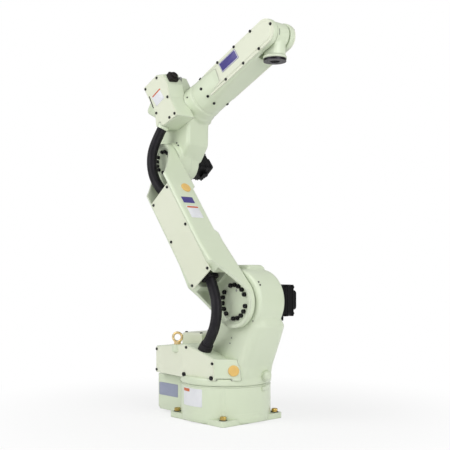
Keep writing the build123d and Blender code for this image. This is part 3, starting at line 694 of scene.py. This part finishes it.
# Centre lines of the hoses in metres, from the arm's side of each joint
LOWER_HOSE_ROUTE = [
    (0.108, -0.183, 0.604), (0.137, -0.183, 0.546), (0.144, -0.179, 0.482),
    (0.125, -0.170, 0.421), (0.088, -0.159, 0.369), (0.043, -0.147, 0.325),
]
UPPER_HOSE_ROUTE = [
    (-0.1968, -0.183, 0.9734), (-0.2388, -0.183, 1.0094), (-0.2768, -0.182, 1.0534),
    (-0.3008, -0.178, 1.1074), (-0.3088, -0.170, 1.1654), (-0.3008, -0.155, 1.2214),
    (-0.2798, -0.136, 1.2774),
]


def smooth_line(route):
    """Points on the smooth line that a hose takes through its route."""
    curve = bpy.data.curves.new("hose_line", "CURVE")
    curve.dimensions = "3D"
    curve.resolution_u = 24
    spline = curve.splines.new("NURBS")
    spline.points.add(len(route) - 1)
    for point, spot in zip(spline.points, route):
        point.co = (*spot, 1)
    spline.order_u = 3
    spline.use_endpoint_u = True
    holder = bpy.data.objects.new("hose_line", curve)
    mesh = bpy.data.meshes.new_from_object(holder)
    line = np.zeros(len(mesh.vertices) * 3)
    mesh.vertices.foreach_get("co", line)
    bpy.data.objects.remove(holder)
    bpy.data.curves.remove(curve)
    bpy.data.meshes.remove(mesh)
    return line.reshape(-1, 3)


def ribbed_hose(name, route, node):
    """A hose: a circle carried along the line. Its radius is half the hose's diameter less the
    rib depth, where the depth fades in as a power of a cosine wave, which makes round ribs with
    narrow grooves. Each ring stands square to the line, and the rings are evenly spaced."""
    size = sizes()
    line = smooth_line(route)
    along = np.concatenate([[0], np.cumsum(np.linalg.norm(np.diff(line, axis=0), axis=1))])
    ribs = round(along[-1] / size.hose_pitch)
    at = np.linspace(0, along[-1], ribs * RINGS_PER_RIB + 1)
    centres = np.stack([np.interp(at, along, line[:, k]) for k in range(3)], 1)
    forward = unit(np.gradient(centres, axis=0))
    first = unit(np.cross(forward, NEAR))
    second = np.cross(forward, first)
    wave = 0.5 - 0.5 * np.cos(2 * math.pi * np.arange(len(at)) / RINGS_PER_RIB)
    radius = size.hose_diameter / 2 - size.rib_depth * (1 - wave) ** 1.5
    angle = np.linspace(0, 2 * math.pi, HOSE_SIDES, endpoint=False)[:, None]
    spokes = np.cos(angle) * first[:, None] + np.sin(angle) * second[:, None]
    skin = capped(centres[:, None] + radius[:, None, None] * spokes)
    hose = make_piece(name, "hose_rubber_ribbed", None, "hose_rubber", skin, crease=60.0)
    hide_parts(node)
    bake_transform(hose)


class ARM_OT_hoses(bpy.types.Operator):
    """Make the two ribbed hoses that bend round the shoulder and the elbow"""

    bl_idname = "arm.hoses"
    bl_label = "Hoses"

    def execute(self, context):
        ribbed_hose("ribbed_hose_lower", LOWER_HOSE_ROUTE, "lower_hose")
        ribbed_hose("ribbed_hose_upper", UPPER_HOSE_ROUTE, "upper_hose")
        return {"FINISHED"}


def cast_skin(node, body, grid, rounds):
    """A casting's skin: its solid is drawn again on an even grid, then each point moves half
    way to the middle of its neighbours, round after round, as moulding sand rounds an edge."""
    shell = bmesh.new()
    shell.from_mesh(NODES[node].data)
    bmesh.ops.remove_doubles(shell, verts=shell.verts, dist=SAME_POINT)
    mesh = bpy.data.meshes.new(f"{node}_skin")
    shell.to_mesh(mesh)
    shell.free()
    skin = bpy.data.objects.new(f"{node}_skin", mesh)
    bpy.context.scene.collection.objects.link(skin)
    even = skin.modifiers.new("even_grid", "REMESH")
    even.mode = "VOXEL"
    even.voxel_size = grid
    soften = skin.modifiers.new("soft_edges", "SMOOTH")
    soften.factor = 0.5
    soften.iterations = rounds
    shaped = skin.evaluated_get(bpy.context.evaluated_depsgraph_get())
    mesh = bpy.data.meshes.new_from_object(shaped)
    skin.modifiers.clear()
    skin.data = mesh
    mesh.shade_smooth()
    mesh.materials.clear()
    mesh.materials.append(material("mint_casting"))
    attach(skin, body)
    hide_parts(node)
    SEATS[node] = skin


class ARM_OT_cast_skins(bpy.types.Operator):
    """Make the rounded skins of the turntable, the upper arm, the forearm and the wrist"""

    bl_idname = "arm.cast_skins"
    bl_label = "Cast skins"

    def execute(self, context):
        cast_skin("turntable_casting", "turntable", 0.0045, 10)
        cast_skin("upper_arm_casting", "upper_arm", 0.0035, 10)
        cast_skin("forearm_casting", "forearm", 0.0035, 3)
        cast_skin("wrist_casting", "wrist", 0.0025, 5)
        context.view_layer.update()
        return {"FINISHED"}


class ARM_OT_anchor_bolts(bpy.types.Operator):
    """Make the four yellow bolts that hold the base to the floor, their zinc darkened as painted
    shade, and their washers, black also as painted shade round the bolts
    """

    bl_idname = "arm.anchor_bolts"
    bl_label = "Anchor bolts"

    def execute(self, context):
        size = sizes()
        half = size.anchor_pitch / 2
        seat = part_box("base_casting")[0].z + BASE_PLATE_TOP
        spots = np.array([(x, y, seat) for x, y in corners(half, half)])
        head = hexagon_head(size.anchor_inner, 0.003, 0.0165)
        bolts = turned(head, spots, UP, 48)
        make_piece("anchor_bolts", "bolt_zinc", "base", "zinc_steel", bolts)
        # The washers are black: real washers whose black is also painted shade round the bolts in
        # their counterbores
        washer = profile((0, 3), (15.5, 3), (16.5, 2.2), (16.5, 0), (0, 0))
        washers = turned(washer, spots, UP, 48)
        make_piece("anchor_washers", "screw_black", "base", None, washers)
        return {"FINISHED"}


def black_screws(name, body, *groups):
    """A piece of cap screws that stand square on their nodes. Each group gives a node, points,
    the way that lines through the points go to meet the node, and a head's radius and height."""
    skins = []
    for node, points, toward, radius, height in groups:
        spots, looks = land(node, points, toward)
        skins.append(turned(cap_screw(radius, height), spots, looks))
    make_piece(name, "screw_black", body, None, *skins)


class ARM_OT_base_parts(bpy.types.Operator):
    """Make the blank plates, foot ring, seal and stop of the base, and its rear socket caps"""

    bl_idname = "arm.base_parts"
    bl_label = "Base parts"

    def execute(self, context):
        rise = sizes().plate_rise
        middle = np.array([-0.2515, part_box("base_connector_box")[0].y, 0.1045])
        half = np.array([0.0675, 0.0285])
        blank = plate(middle, AHEAD, UP, *half, 0.003, rise)
        make_piece("base_blank_plate", "plate_violet", "base", "panel_grey", blank)
        spots = np.array([middle + (x, -rise, z) for x, z in corners(*(half - 0.005))])
        rivets = turned(button(0.0019, 0.0012), spots, NEAR, 12)
        make_piece("base_plate_rivets", "fitting_steel", "base", "ground_steel", rivets)
        down = (0, 0, -1)
        label = plate((0, 0, 0.1075), AHEAD, down, 0.0605, 0.0375, 0.003, rise, rings=12)
        make_piece("drum_blank_plate", "plate_white", "base", None, round_drum(label))
        middle = (-0.034, rise * 0.8, 0.1360)
        band = plate(middle, AHEAD, down, 0.0235, 0.0065, 0.0015, 0.0006, rings=8)
        make_piece("drum_plate_band", "plate_band", "base", None, round_drum(band))
        drum = DRUM_RADIUS / MM
        foot = profile((165, 4.5), (192.5, 4.5), (drum, 9), (drum, 45), (194, 48), (165, 48))
        seal = profile(
            (150, 152.5), (192.5, 152.5), (193, 154.5), (193, 157.2), (192.5, 158.8), (150, 158.8)
        )
        rings = [turned_ring(rows, (0, 0, 0), UP, 160) for rows in (foot, seal)]
        make_piece("drum_foot_and_seal", "mint_casting", "base", "mint_paint", *rings)
        turn = math.radians(12.0)
        out = np.array([math.cos(turn), math.sin(turn), 0])
        middle = out * DRUM_RADIUS + 0.143 * UP
        stop = block(middle, out, np.cross(UP, out), (0.022, 0.030, 0.018), 0.004)
        make_piece("swing_stop_pad", "mint_casting", "base", "mint_paint", stop)
        self.rear_panel()
        return {"FINISHED"}

    def rear_panel(self):
        """Dust caps in the four sockets of the rear panel, and the panel's screws."""
        low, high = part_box("connector_panel")
        caps = []
        for k, radius in enumerate((18.0, 18.0, 10.2, 10.2)):
            across = (high.y - low.y) / 2 - 0.045 * (k + 1) - (0 if k < 2 else 0.006)
            rows = profile(
                (0, 10), (0.55 * radius, 10), (0.62 * radius, 8.5), (0.9 * radius, 8.5),
                (radius, 7.5), (radius, 0), (0, 0),
            )
            spot = (low.x + 0.014, across, (low.z + high.z) / 2)
            caps.append(turned(rows, spot, -AHEAD, 32))
        make_piece("socket_caps", "connector_moulding", "base", "connector_black", *caps)
        inset = 0.009
        sides, heights = (low.y + inset, high.y - inset), (low.z + inset, high.z - inset)
        points = np.array([(low.x, y, z) for y in sides for z in heights])
        black_screws("rear_panel_screws", "base", ("connector_panel", points, AHEAD, 0.0042, 0.003))


def motor_parts(name, body, origin, first, scale, length):
    """A motor's fittings on the far side: the tie screws on the end of its body, the bands and
    the raised strip on it, and the round connector of its plug. Places along the motor are
    shares of its length, and sizes across it are those of the shoulder's motor, scaled."""
    second = np.cross(FAR, first)
    end, side = origin + 0.74 * length * FAR, 0.056 * scale
    spots = np.array([end + x * first + y * second for x, y in corners(side, side)])
    screws = turned(cap_screw(0.0062 * scale, 0.005), spots, FAR)
    make_piece(f"{name}_tie_screws", "screw_black", body, None, screws)
    wide = 0.1352 * scale
    bands = [
        block(origin + share * length * FAR, first, second, (wide, wide, thick * length), 0.0022)
        for share, thick in ((0.20, 0.05), (0.42, 0.035), (0.50, 0.035), (0.69, 0.05))
    ]
    top = origin - 0.069 * scale * second + 0.28 * length * FAR
    bands.append(block(top, first, second, (0.046 * scale, 0.020 * scale, 0.24 * length), 0.003))
    make_piece(f"{name}_bands", "motor_paint", body, "motor_black", *bands)
    foot = origin + 0.076 * scale * second + (0.52 * length + 0.017 * scale) * FAR
    rows = profile(
        (0, 13), (8.5, 13), (10, 11.5), (10, 8.5), (12.5, 8), (13.5, 6.5), (13.5, -2), (0, -2)
    )
    connector = turned(rows * (scale, scale, 1), foot, FAR, 32)
    make_piece(f"{name}_connector", "connector_moulding", body, "connector_black", connector)


class ARM_OT_turntable_parts(bpy.types.Operator):
    """Make the turntable's screws, stop lug and hose collar, and the shoulder motor's fittings"""

    bl_idname = "arm.turntable_parts"
    bl_label = "Turntable parts"

    def execute(self, context):
        size = sizes().cover_screw
        small = np.array([(-284, -170, 288), (-285, -170, 196), (-53, -170, 312), (106, -170, 255)])
        large = np.array([(-66, -170, 197), (101, -170, 195)])
        black_screws(
            "side_cover_screws", "turntable",
            ("conduit_side_cover", small * MM, FAR, size, 0.004),
            ("conduit_side_cover", large * MM, FAR, 0.0088, 0.0065),
        )
        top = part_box("rear_top_cover")[1].z
        points = np.array([(x, y, top) for x in (-0.190, -0.088) for y in (-0.066, 0.066)])
        black_screws("top_cover_screws", "turntable", ("rear_top_cover", points, -UP, size, 0.004))
        low, high = np.array(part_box("stopper_lug"))
        low[0] -= 0.012
        lug = block((low + high) / 2, AHEAD, FAR, high - low, 0.017)
        lug = make_piece("stop_lug_cast", "mint_casting", "turntable", "mint_paint", lug)
        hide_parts("stopper_lug")
        end, before = np.array(LOWER_HOSE_ROUTE[-1]), np.array(LOWER_HOSE_ROUTE[-2])
        rows = profile(
            (0, 12), (23.8, 12), (26.2, 10.2), (27.2, 6), (27.5, -10), (29, -14), (29, -32),
            (0, -32),
        )
        collar = turned(rows, end, before - end, 48)
        collar = make_piece("lower_hose_collar", "boot_rubber", "turntable", "hose_rubber", collar)
        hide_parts("lower_hose_boot")
        plugs = np.array([(143, -97, 360), (133, -97, 337), (270, -97, 436)]) * MM
        shoulder = np.array([(285, -79.5, 593.6), (293, -79.5, 581.6)]) * MM
        black_screws(
            "column_screws", "turntable",
            ("turntable_casting", plugs, FAR, 0.0030, 0.0008),
            ("turntable_casting", shoulder, (-0.81, 0, -0.58), 0.0034, 0.003),
        )
        motor_parts("shoulder_motor", "turntable", SHOULDER + 0.050 * FAR, AHEAD, 1.0, 0.166)
        return {"FINISHED"}


def ring_bolts(joint, radius, middles, step, count, head, height):
    """Cap screws in groups on a circle on the floor of a joint's bowl. Each group's screws are
    a step apart, in degrees, on both sides of its middle."""
    offsets = (np.arange(count) - (count - 1) / 2) * step
    angles = np.radians((np.array(middles)[:, None] + offsets).ravel())[:, None]
    floor = joint * (1, 0, 1) + (0, BOWL_Y, 0)
    spots = floor + radius * (np.cos(angles) * AHEAD + np.sin(angles) * UP)
    return turned(cap_screw(head, height), spots, NEAR)


class ARM_OT_lower_arm_parts(bpy.types.Operator):
    """Make the bolt rings, cover screws and blank plates of the lower arm"""

    bl_idname = "arm.lower_arm_parts"
    bl_label = "Lower arm parts"

    def execute(self, context):
        size, rise = sizes(), sizes().plate_rise
        along, across = np.meshgrid((127.6, 358.0, 563.0), (-60.0, 60.0))
        points = on_arm(along.ravel(), across.ravel(), ARM_COVER_Y)
        group = ("lower_arm_cover", points, FAR, size.cover_screw, 0.004)
        black_screws("arm_cover_screws", "lower_arm", group)
        middles = (67, 187, 307), (65, 185, 305)
        make_piece(
            "joint_ring_bolts", "screw_black", "lower_arm", None,
            ring_bolts(
                SHOULDER, size.shoulder_ring, middles[0], 20, 5, size.shoulder_bolt, 0.011
            ),
            ring_bolts(ELBOW, size.elbow_ring, middles[1], 25, 4, size.elbow_bolt, 0.010),
        )
        plug = turned(button(0.0052, 0.0012), (0.1905, BOWL_Y, 0.5585), NEAR, 20)
        make_piece("bowl_plug", "fitting_steel", "lower_arm", "ground_steel", plug)
        for name, finish, along, y, half_sizes, lift in (
            ("arm_blue_plate", "plate_blue", 474, -0.181, (0.0305, 0.0165), rise),
            ("arm_white_plate", "plate_white", 409, -0.176, (0.0320, 0.0330), rise),
            ("arm_plate_band", "plate_band", 434, -0.176, (0.0300, 0.0045), rise + 0.0004),
        ):
            middle = on_arm(along, FRONT_WALL, y)[0]
            skin = plate(middle, FAR, ALONG_ARM, *half_sizes, 0.002, lift)
            make_piece(name, finish, "lower_arm", None, skin)
        return {"FINISHED"}


class ARM_OT_upper_arm_parts(bpy.types.Operator):
    """Make the screws, plates, fittings and motor details of the upper arm"""

    bl_idname = "arm.upper_arm_parts"
    bl_label = "Upper arm parts"

    def execute(self, context):
        size, rise = sizes(), sizes().plate_rise
        cover = np.array([(150, 156), (58, 156), (183, 34), (84, 12), (196, -60), (158, -57)])
        points = on_forearm(*cover.T, DUCT_COVER_Y)
        group = ("cable_box_cover", points, FAR, size.cover_screw, 0.004)
        black_screws("duct_cover_screws", "upper_arm", group)
        rows = profile(
            (70, 254), (81.2, 254), (81.7, 255.5), (81.7, 263), (81.2, 264.5), (70, 264.5)
        )
        seal = turned_ring(rows, ROLL_FOOT, ALONG_FOREARM, 120)
        make_piece("roll_seal", "mint_casting", "upper_arm", "mint_paint", seal)
        small = np.array([(-164, -82, 1410), (-246, -76, 1217.6), (-235, -76, 1205)]) * MM
        group = ("upper_arm_casting", small, FAR, 0.0036, 0.0028)
        black_screws("upper_arm_screws", "upper_arm", group)
        middle = on_forearm(121, 71, DUCT_COVER_Y)[0]
        across = unit(ALONG_FOREARM * 0.996 + ABOVE_FOREARM * 0.06)
        up = np.cross(NEAR, across)
        skin = plate(middle, across, up, 0.0320, 0.0300, 0.002, rise, DUCT_PLATE_SLANT)
        make_piece("duct_white_plate", "plate_white", "upper_arm", None, skin)
        middle, lift = middle + 0.0245 * up, rise + 0.0004
        skin = plate(middle, across, up, 0.0310, 0.0038, 0.001, lift, DUCT_PLATE_SLANT)
        make_piece("duct_plate_band", "plate_band", "upper_arm", None, skin)
        ends = on_forearm((68, 74), (112, 44), DUCT_COVER_Y)
        run = ends[1] - ends[0]
        half, up = 0.5 * np.linalg.norm(run), np.cross(NEAR, unit(run))
        strip = plate(ends.mean(0), unit(run), up, half, 0.0022, 0.0018, 0.0016)
        make_piece("duct_edge_strip", "connector_moulding", "upper_arm", None, strip)
        self.connector()
        motor_parts("elbow_motor", "upper_arm", ELBOW + 0.030 * FAR, FRONT_OF_ARM, 0.72, 0.1195)
        return {"FINISHED"}

    def connector(self):
        """The ribbed insert of the cable connector and a small union beside it."""
        middle = np.mean(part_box("cable_connector"), 0)
        _, looks = land("cable_connector", middle, -ALONG_FOREARM)
        spots, _ = land("cable_connector", middle, -looks[0])
        rows = profile(
            (0, 4.5), (9.5, 4.5), (11, 3.5), (12, 3.5), (12, 6.5), (14.5, 6.5), (15.5, 5.5),
            (15.5, -1), (0, -1),
        )
        insert = turned(rows, spots, looks, 40)
        make_piece("connector_insert", "connector_moulding", "upper_arm", None, insert)
        spots, looks = land("cable_box", middle + 0.044 * FAR, -ALONG_FOREARM)
        rows = profile(
            (0, 19), (5, 19), (6.2, 17.8), (6.2, 12.5), (9.5, 12, 1), (9.5, 4.5, 1), (12, 4),
            (12, -1), (0, -1),
        )
        union = turned(rows, spots, looks, 36)
        make_piece("cable_box_union", "fitting_steel", "upper_arm", None, union)


# Screws of the forearm's root: where each one is, in millimetres, and which way it looks
ROOT_SCREWS = [
    (-99.5, -62.0, 1483.0, -0.26, -0.75, 0.61), (-72.7, -79.5, 1432.7, 0.12, -0.99, 0.02),
    (-42.5, -66.3, 1398.3, 0.22, -0.85, -0.47), (-38.9, -34.2, 1372.2, 0.45, -0.36, -0.82),
    (-32.1, 37.7, 1377.2, 0.44, 0.33, -0.83), (-80.0, 40.0, 1478.0, -0.30, 0.60, 0.74),
]


class ARM_OT_forearm_parts(bpy.types.Operator):
    """Make the screws and the blank blue plate of the forearm"""

    bl_idname = "arm.forearm_parts"
    bl_label = "Forearm parts"

    def execute(self, context):
        size, rise = sizes(), sizes().plate_rise
        skins = []
        for row in np.array(ROOT_SCREWS):
            spots, looks = land("forearm_casting", row[:3] * MM, -row[3:], 0.03)
            skins.append(turned(cap_screw(size.cover_screw, 0.0045), spots, looks))
        make_piece("forearm_root_screws", "screw_black", "forearm", None, *skins)
        edge = [(447, 50), (463, -46), (560, 50), (581, -46), (668, 50), (682, -46), (777, 6)]
        points = on_forearm(*np.array(edge, float).T, 0.0)
        groups = [
            (node, points - 0.08 * toward, toward, size.cover_screw, 0.004)
            for node, toward in (("forearm_cover_near", FAR), ("forearm_cover_far", NEAR))
        ]
        black_screws("forearm_cover_screws", "forearm", *groups)
        middle = on_forearm(511, 14, RAISED_PANEL_Y)[0]
        for name, finish, inset, lift in (
            ("forearm_blue_edge", "plate_blue", 0.0, rise),
            ("forearm_white_line", "plate_white", 0.0016, rise + 0.0003),
            ("forearm_blue_plate", "plate_blue", 0.0040, rise + 0.0006),
        ):
            skin = plate(
                middle, ALONG_FOREARM, ABOVE_FOREARM, 0.0555 - inset, 0.0245 - inset,
                0.003 - 0.5 * inset, lift, FOREARM_PLATE_SLANT,
            )
            make_piece(name, finish, "forearm", None, skin)
        return {"FINISHED"}


class ARM_OT_wrist_parts(bpy.types.Operator):
    """Make the index mark of the wrist, and the lip and pins at its flange"""

    bl_idname = "arm.wrist_parts"
    bl_label = "Wrist parts"

    def execute(self, context):
        self.index_mark(0.052, -0.0255, 0.0011)
        low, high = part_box("tool_flange")
        lip = profile((47, 2), (48.2, 1.2), (48.6, -1), (48.6, -8.2), (48.2, -9.4), (47.4, -9.4))
        lip = turned_ring(lip, (WRIST[0], 0, high.z), UP, 96)
        make_piece("flange_lip", "mint_casting", "wrist", "mint_paint", lip)
        turn = np.radians([[-112.0], [68.0]])
        middle = np.array([(low.x + high.x) / 2, 0, low.z + 0.0148])
        spots = middle + 0.040 * np.hstack([np.cos(turn), np.sin(turn), 0 * turn])
        pins = turned(button(0.0030, 0.0034), spots, UP, 20)
        make_piece("flange_pins", "fitting_steel", "tool", "ground_steel", pins)
        return {"FINISHED"}

    def index_mark(self, radius, y, width):
        """A fine dark line on the wrist: a small rectangle carried along an arc round its axis."""
        angle = np.radians(np.linspace(-15, 13, 15))
        out = np.stack([np.cos(angle), 0 * angle, np.sin(angle)], 1)
        spots = WRIST + radius * out
        spots[:, 1] = y
        ring = np.array([(-1, -1), (1, -1), (1, 1), (-1, 1)], float)
        offsets = 0.5 * ring[:, :1] * out[:, None] + ring[:, 1:] * FAR
        skin = capped(spots[:, None] + width * offsets)
        make_piece("wrist_index_mark", "screw_black", "wrist", None, skin)


class ARM_OT_studio(bpy.types.Operator):
    """Make the floor, the room, the soft lights and the camera"""

    bl_idname = "arm.studio"
    bl_label = "Studio"

    def execute(self, context):
        studio = context.scene.arm_studio
        context.scene.view_settings.view_transform = "Standard"
        self.floor(tuple(studio.floor), studio.floor_radius)
        self.room(studio.room_strength)
        self.lamp("key_light", (-0.9, -3.6, 2.9), 2.6, studio.key_power)
        self.lamp("fill_light", (3.6, -0.4, 2.2), 2.2, studio.fill_power)
        self.camera(studio.lens)
        return {"FINISHED"}

    def floor(self, shade, edge):
        """A flat disc of rings. Near the arm it takes shade, further out it is plain white."""
        radius = np.array([0.0, 0.4, 0.8, 1.6, 3.0, edge])
        angle = np.linspace(0, 2 * math.pi, 64, endpoint=False)
        across, along = np.outer(radius, np.cos(angle)), np.outer(radius, np.sin(angle))
        points = np.stack([across, along, np.full_like(across, -0.0005)], -1)
        finish = Finish("studio_floor", shade, roughness=0.9)
        away = finish.node("ShaderNodeVectorMath", {"operation": "LENGTH"}, {0: finish.place})
        open_floor = Varying(finish, away.outputs["Value"]).between(0.45, 1.5)
        glow = finish.node("ShaderNodeEmission", None, {"Color": WHITE, "Strength": 1.0})
        share = finish.seen_or("Is Glossy Ray") * (0.72 + 0.28 * open_floor)
        finish.end_with(share, finish.surface.outputs[0], glow.outputs[0], "Material Output")
        make_piece("studio_floor", "studio_floor", None, None, points)

    def room(self, strength):
        """Even pale light from all round, and plain white where the camera sees past the floor."""
        world = bpy.data.worlds.new("studio_room")
        bpy.context.scene.world = world
        world.use_nodes = True
        nodes = Nodes(world.node_tree)
        dim = nodes.tree.nodes["Background"]
        dim.inputs["Color"].default_value = WHITE
        dim.inputs["Strength"].default_value = strength
        white = nodes.node("ShaderNodeBackground", None, {"Color": WHITE})
        share = nodes.seen_or("Is Transmission Ray")
        nodes.end_with(share, dim.outputs[0], white.outputs[0], "World Output")

    def lamp(self, name, place, size, power):
        """A square area light that faces the middle of the arm."""
        light = bpy.data.lights.new(name, "AREA")
        light.size = size
        light.energy = power
        holder = bpy.data.objects.new(name, light)
        holder.location = place
        toward = Vector(ARM_MIDDLE) - Vector(place)
        holder.rotation_euler = toward.to_track_quat("-Z", "Y").to_euler()
        bpy.context.scene.collection.objects.link(holder)

    def camera(self, lens):
        """The camera of the photograph: level, at the height of the turntable's top."""
        made = bpy.data.cameras.new("camera")
        made.lens = lens
        made.sensor_width = 36.0
        made.sensor_fit = "HORIZONTAL"
        made.shift_y = 0.0995
        made.clip_end = 60.0
        holder = bpy.data.objects.new("camera", made)
        holder.location = (2.592, -2.343, 0.643)
        holder.rotation_euler = (math.radians(90), 0, math.radians(47.95))
        bpy.context.scene.collection.objects.link(holder)
        bpy.context.scene.camera = holder


OPERATORS = (
    ARM_OT_finishes, ARM_OT_studio, ARM_OT_cast_skins, ARM_OT_hoses, ARM_OT_anchor_bolts,
    ARM_OT_base_parts, ARM_OT_turntable_parts, ARM_OT_lower_arm_parts, ARM_OT_upper_arm_parts,
    ARM_OT_forearm_parts, ARM_OT_wrist_parts,
)
SETTINGS = {"arm_colours": ArmColours, "arm_sizes": ArmSizes, "arm_studio": StudioSettings}


class ARM_PT_panel(bpy.types.Panel):
    """The arm's colours, sizes and the steps that dress it"""

    bl_label = "Robot Arm"
    bl_idname = "ARM_PT_panel"
    bl_space_type = "VIEW_3D"
    bl_region_type = "UI"
    bl_category = "Robot Arm"

    def draw(self, context):
        for name, group in SETTINGS.items():
            box = self.layout.box()
            for setting in group.__annotations__:
                box.prop(getattr(context.scene, name), setting)
        for operator in OPERATORS:
            self.layout.operator(operator.bl_idname)


CLASSES = (*SETTINGS.values(), *OPERATORS, ARM_PT_panel)


def register():
    for made in CLASSES:
        bpy.utils.register_class(made)
    for name, group in SETTINGS.items():
        setattr(bpy.types.Scene, name, bpy.props.PointerProperty(type=group))


def unregister():
    for name in SETTINGS:
        delattr(bpy.types.Scene, name)
    for made in reversed(CLASSES):
        bpy.utils.unregister_class(made)


def main():
    """Dresses the arm in order."""
    register()
    for operator in OPERATORS:
        group, name = operator.bl_idname.split(".")
        getattr(getattr(bpy.ops, group), name)()
    bpy.context.view_layer.update()


if __name__ == "__main__":
    main()
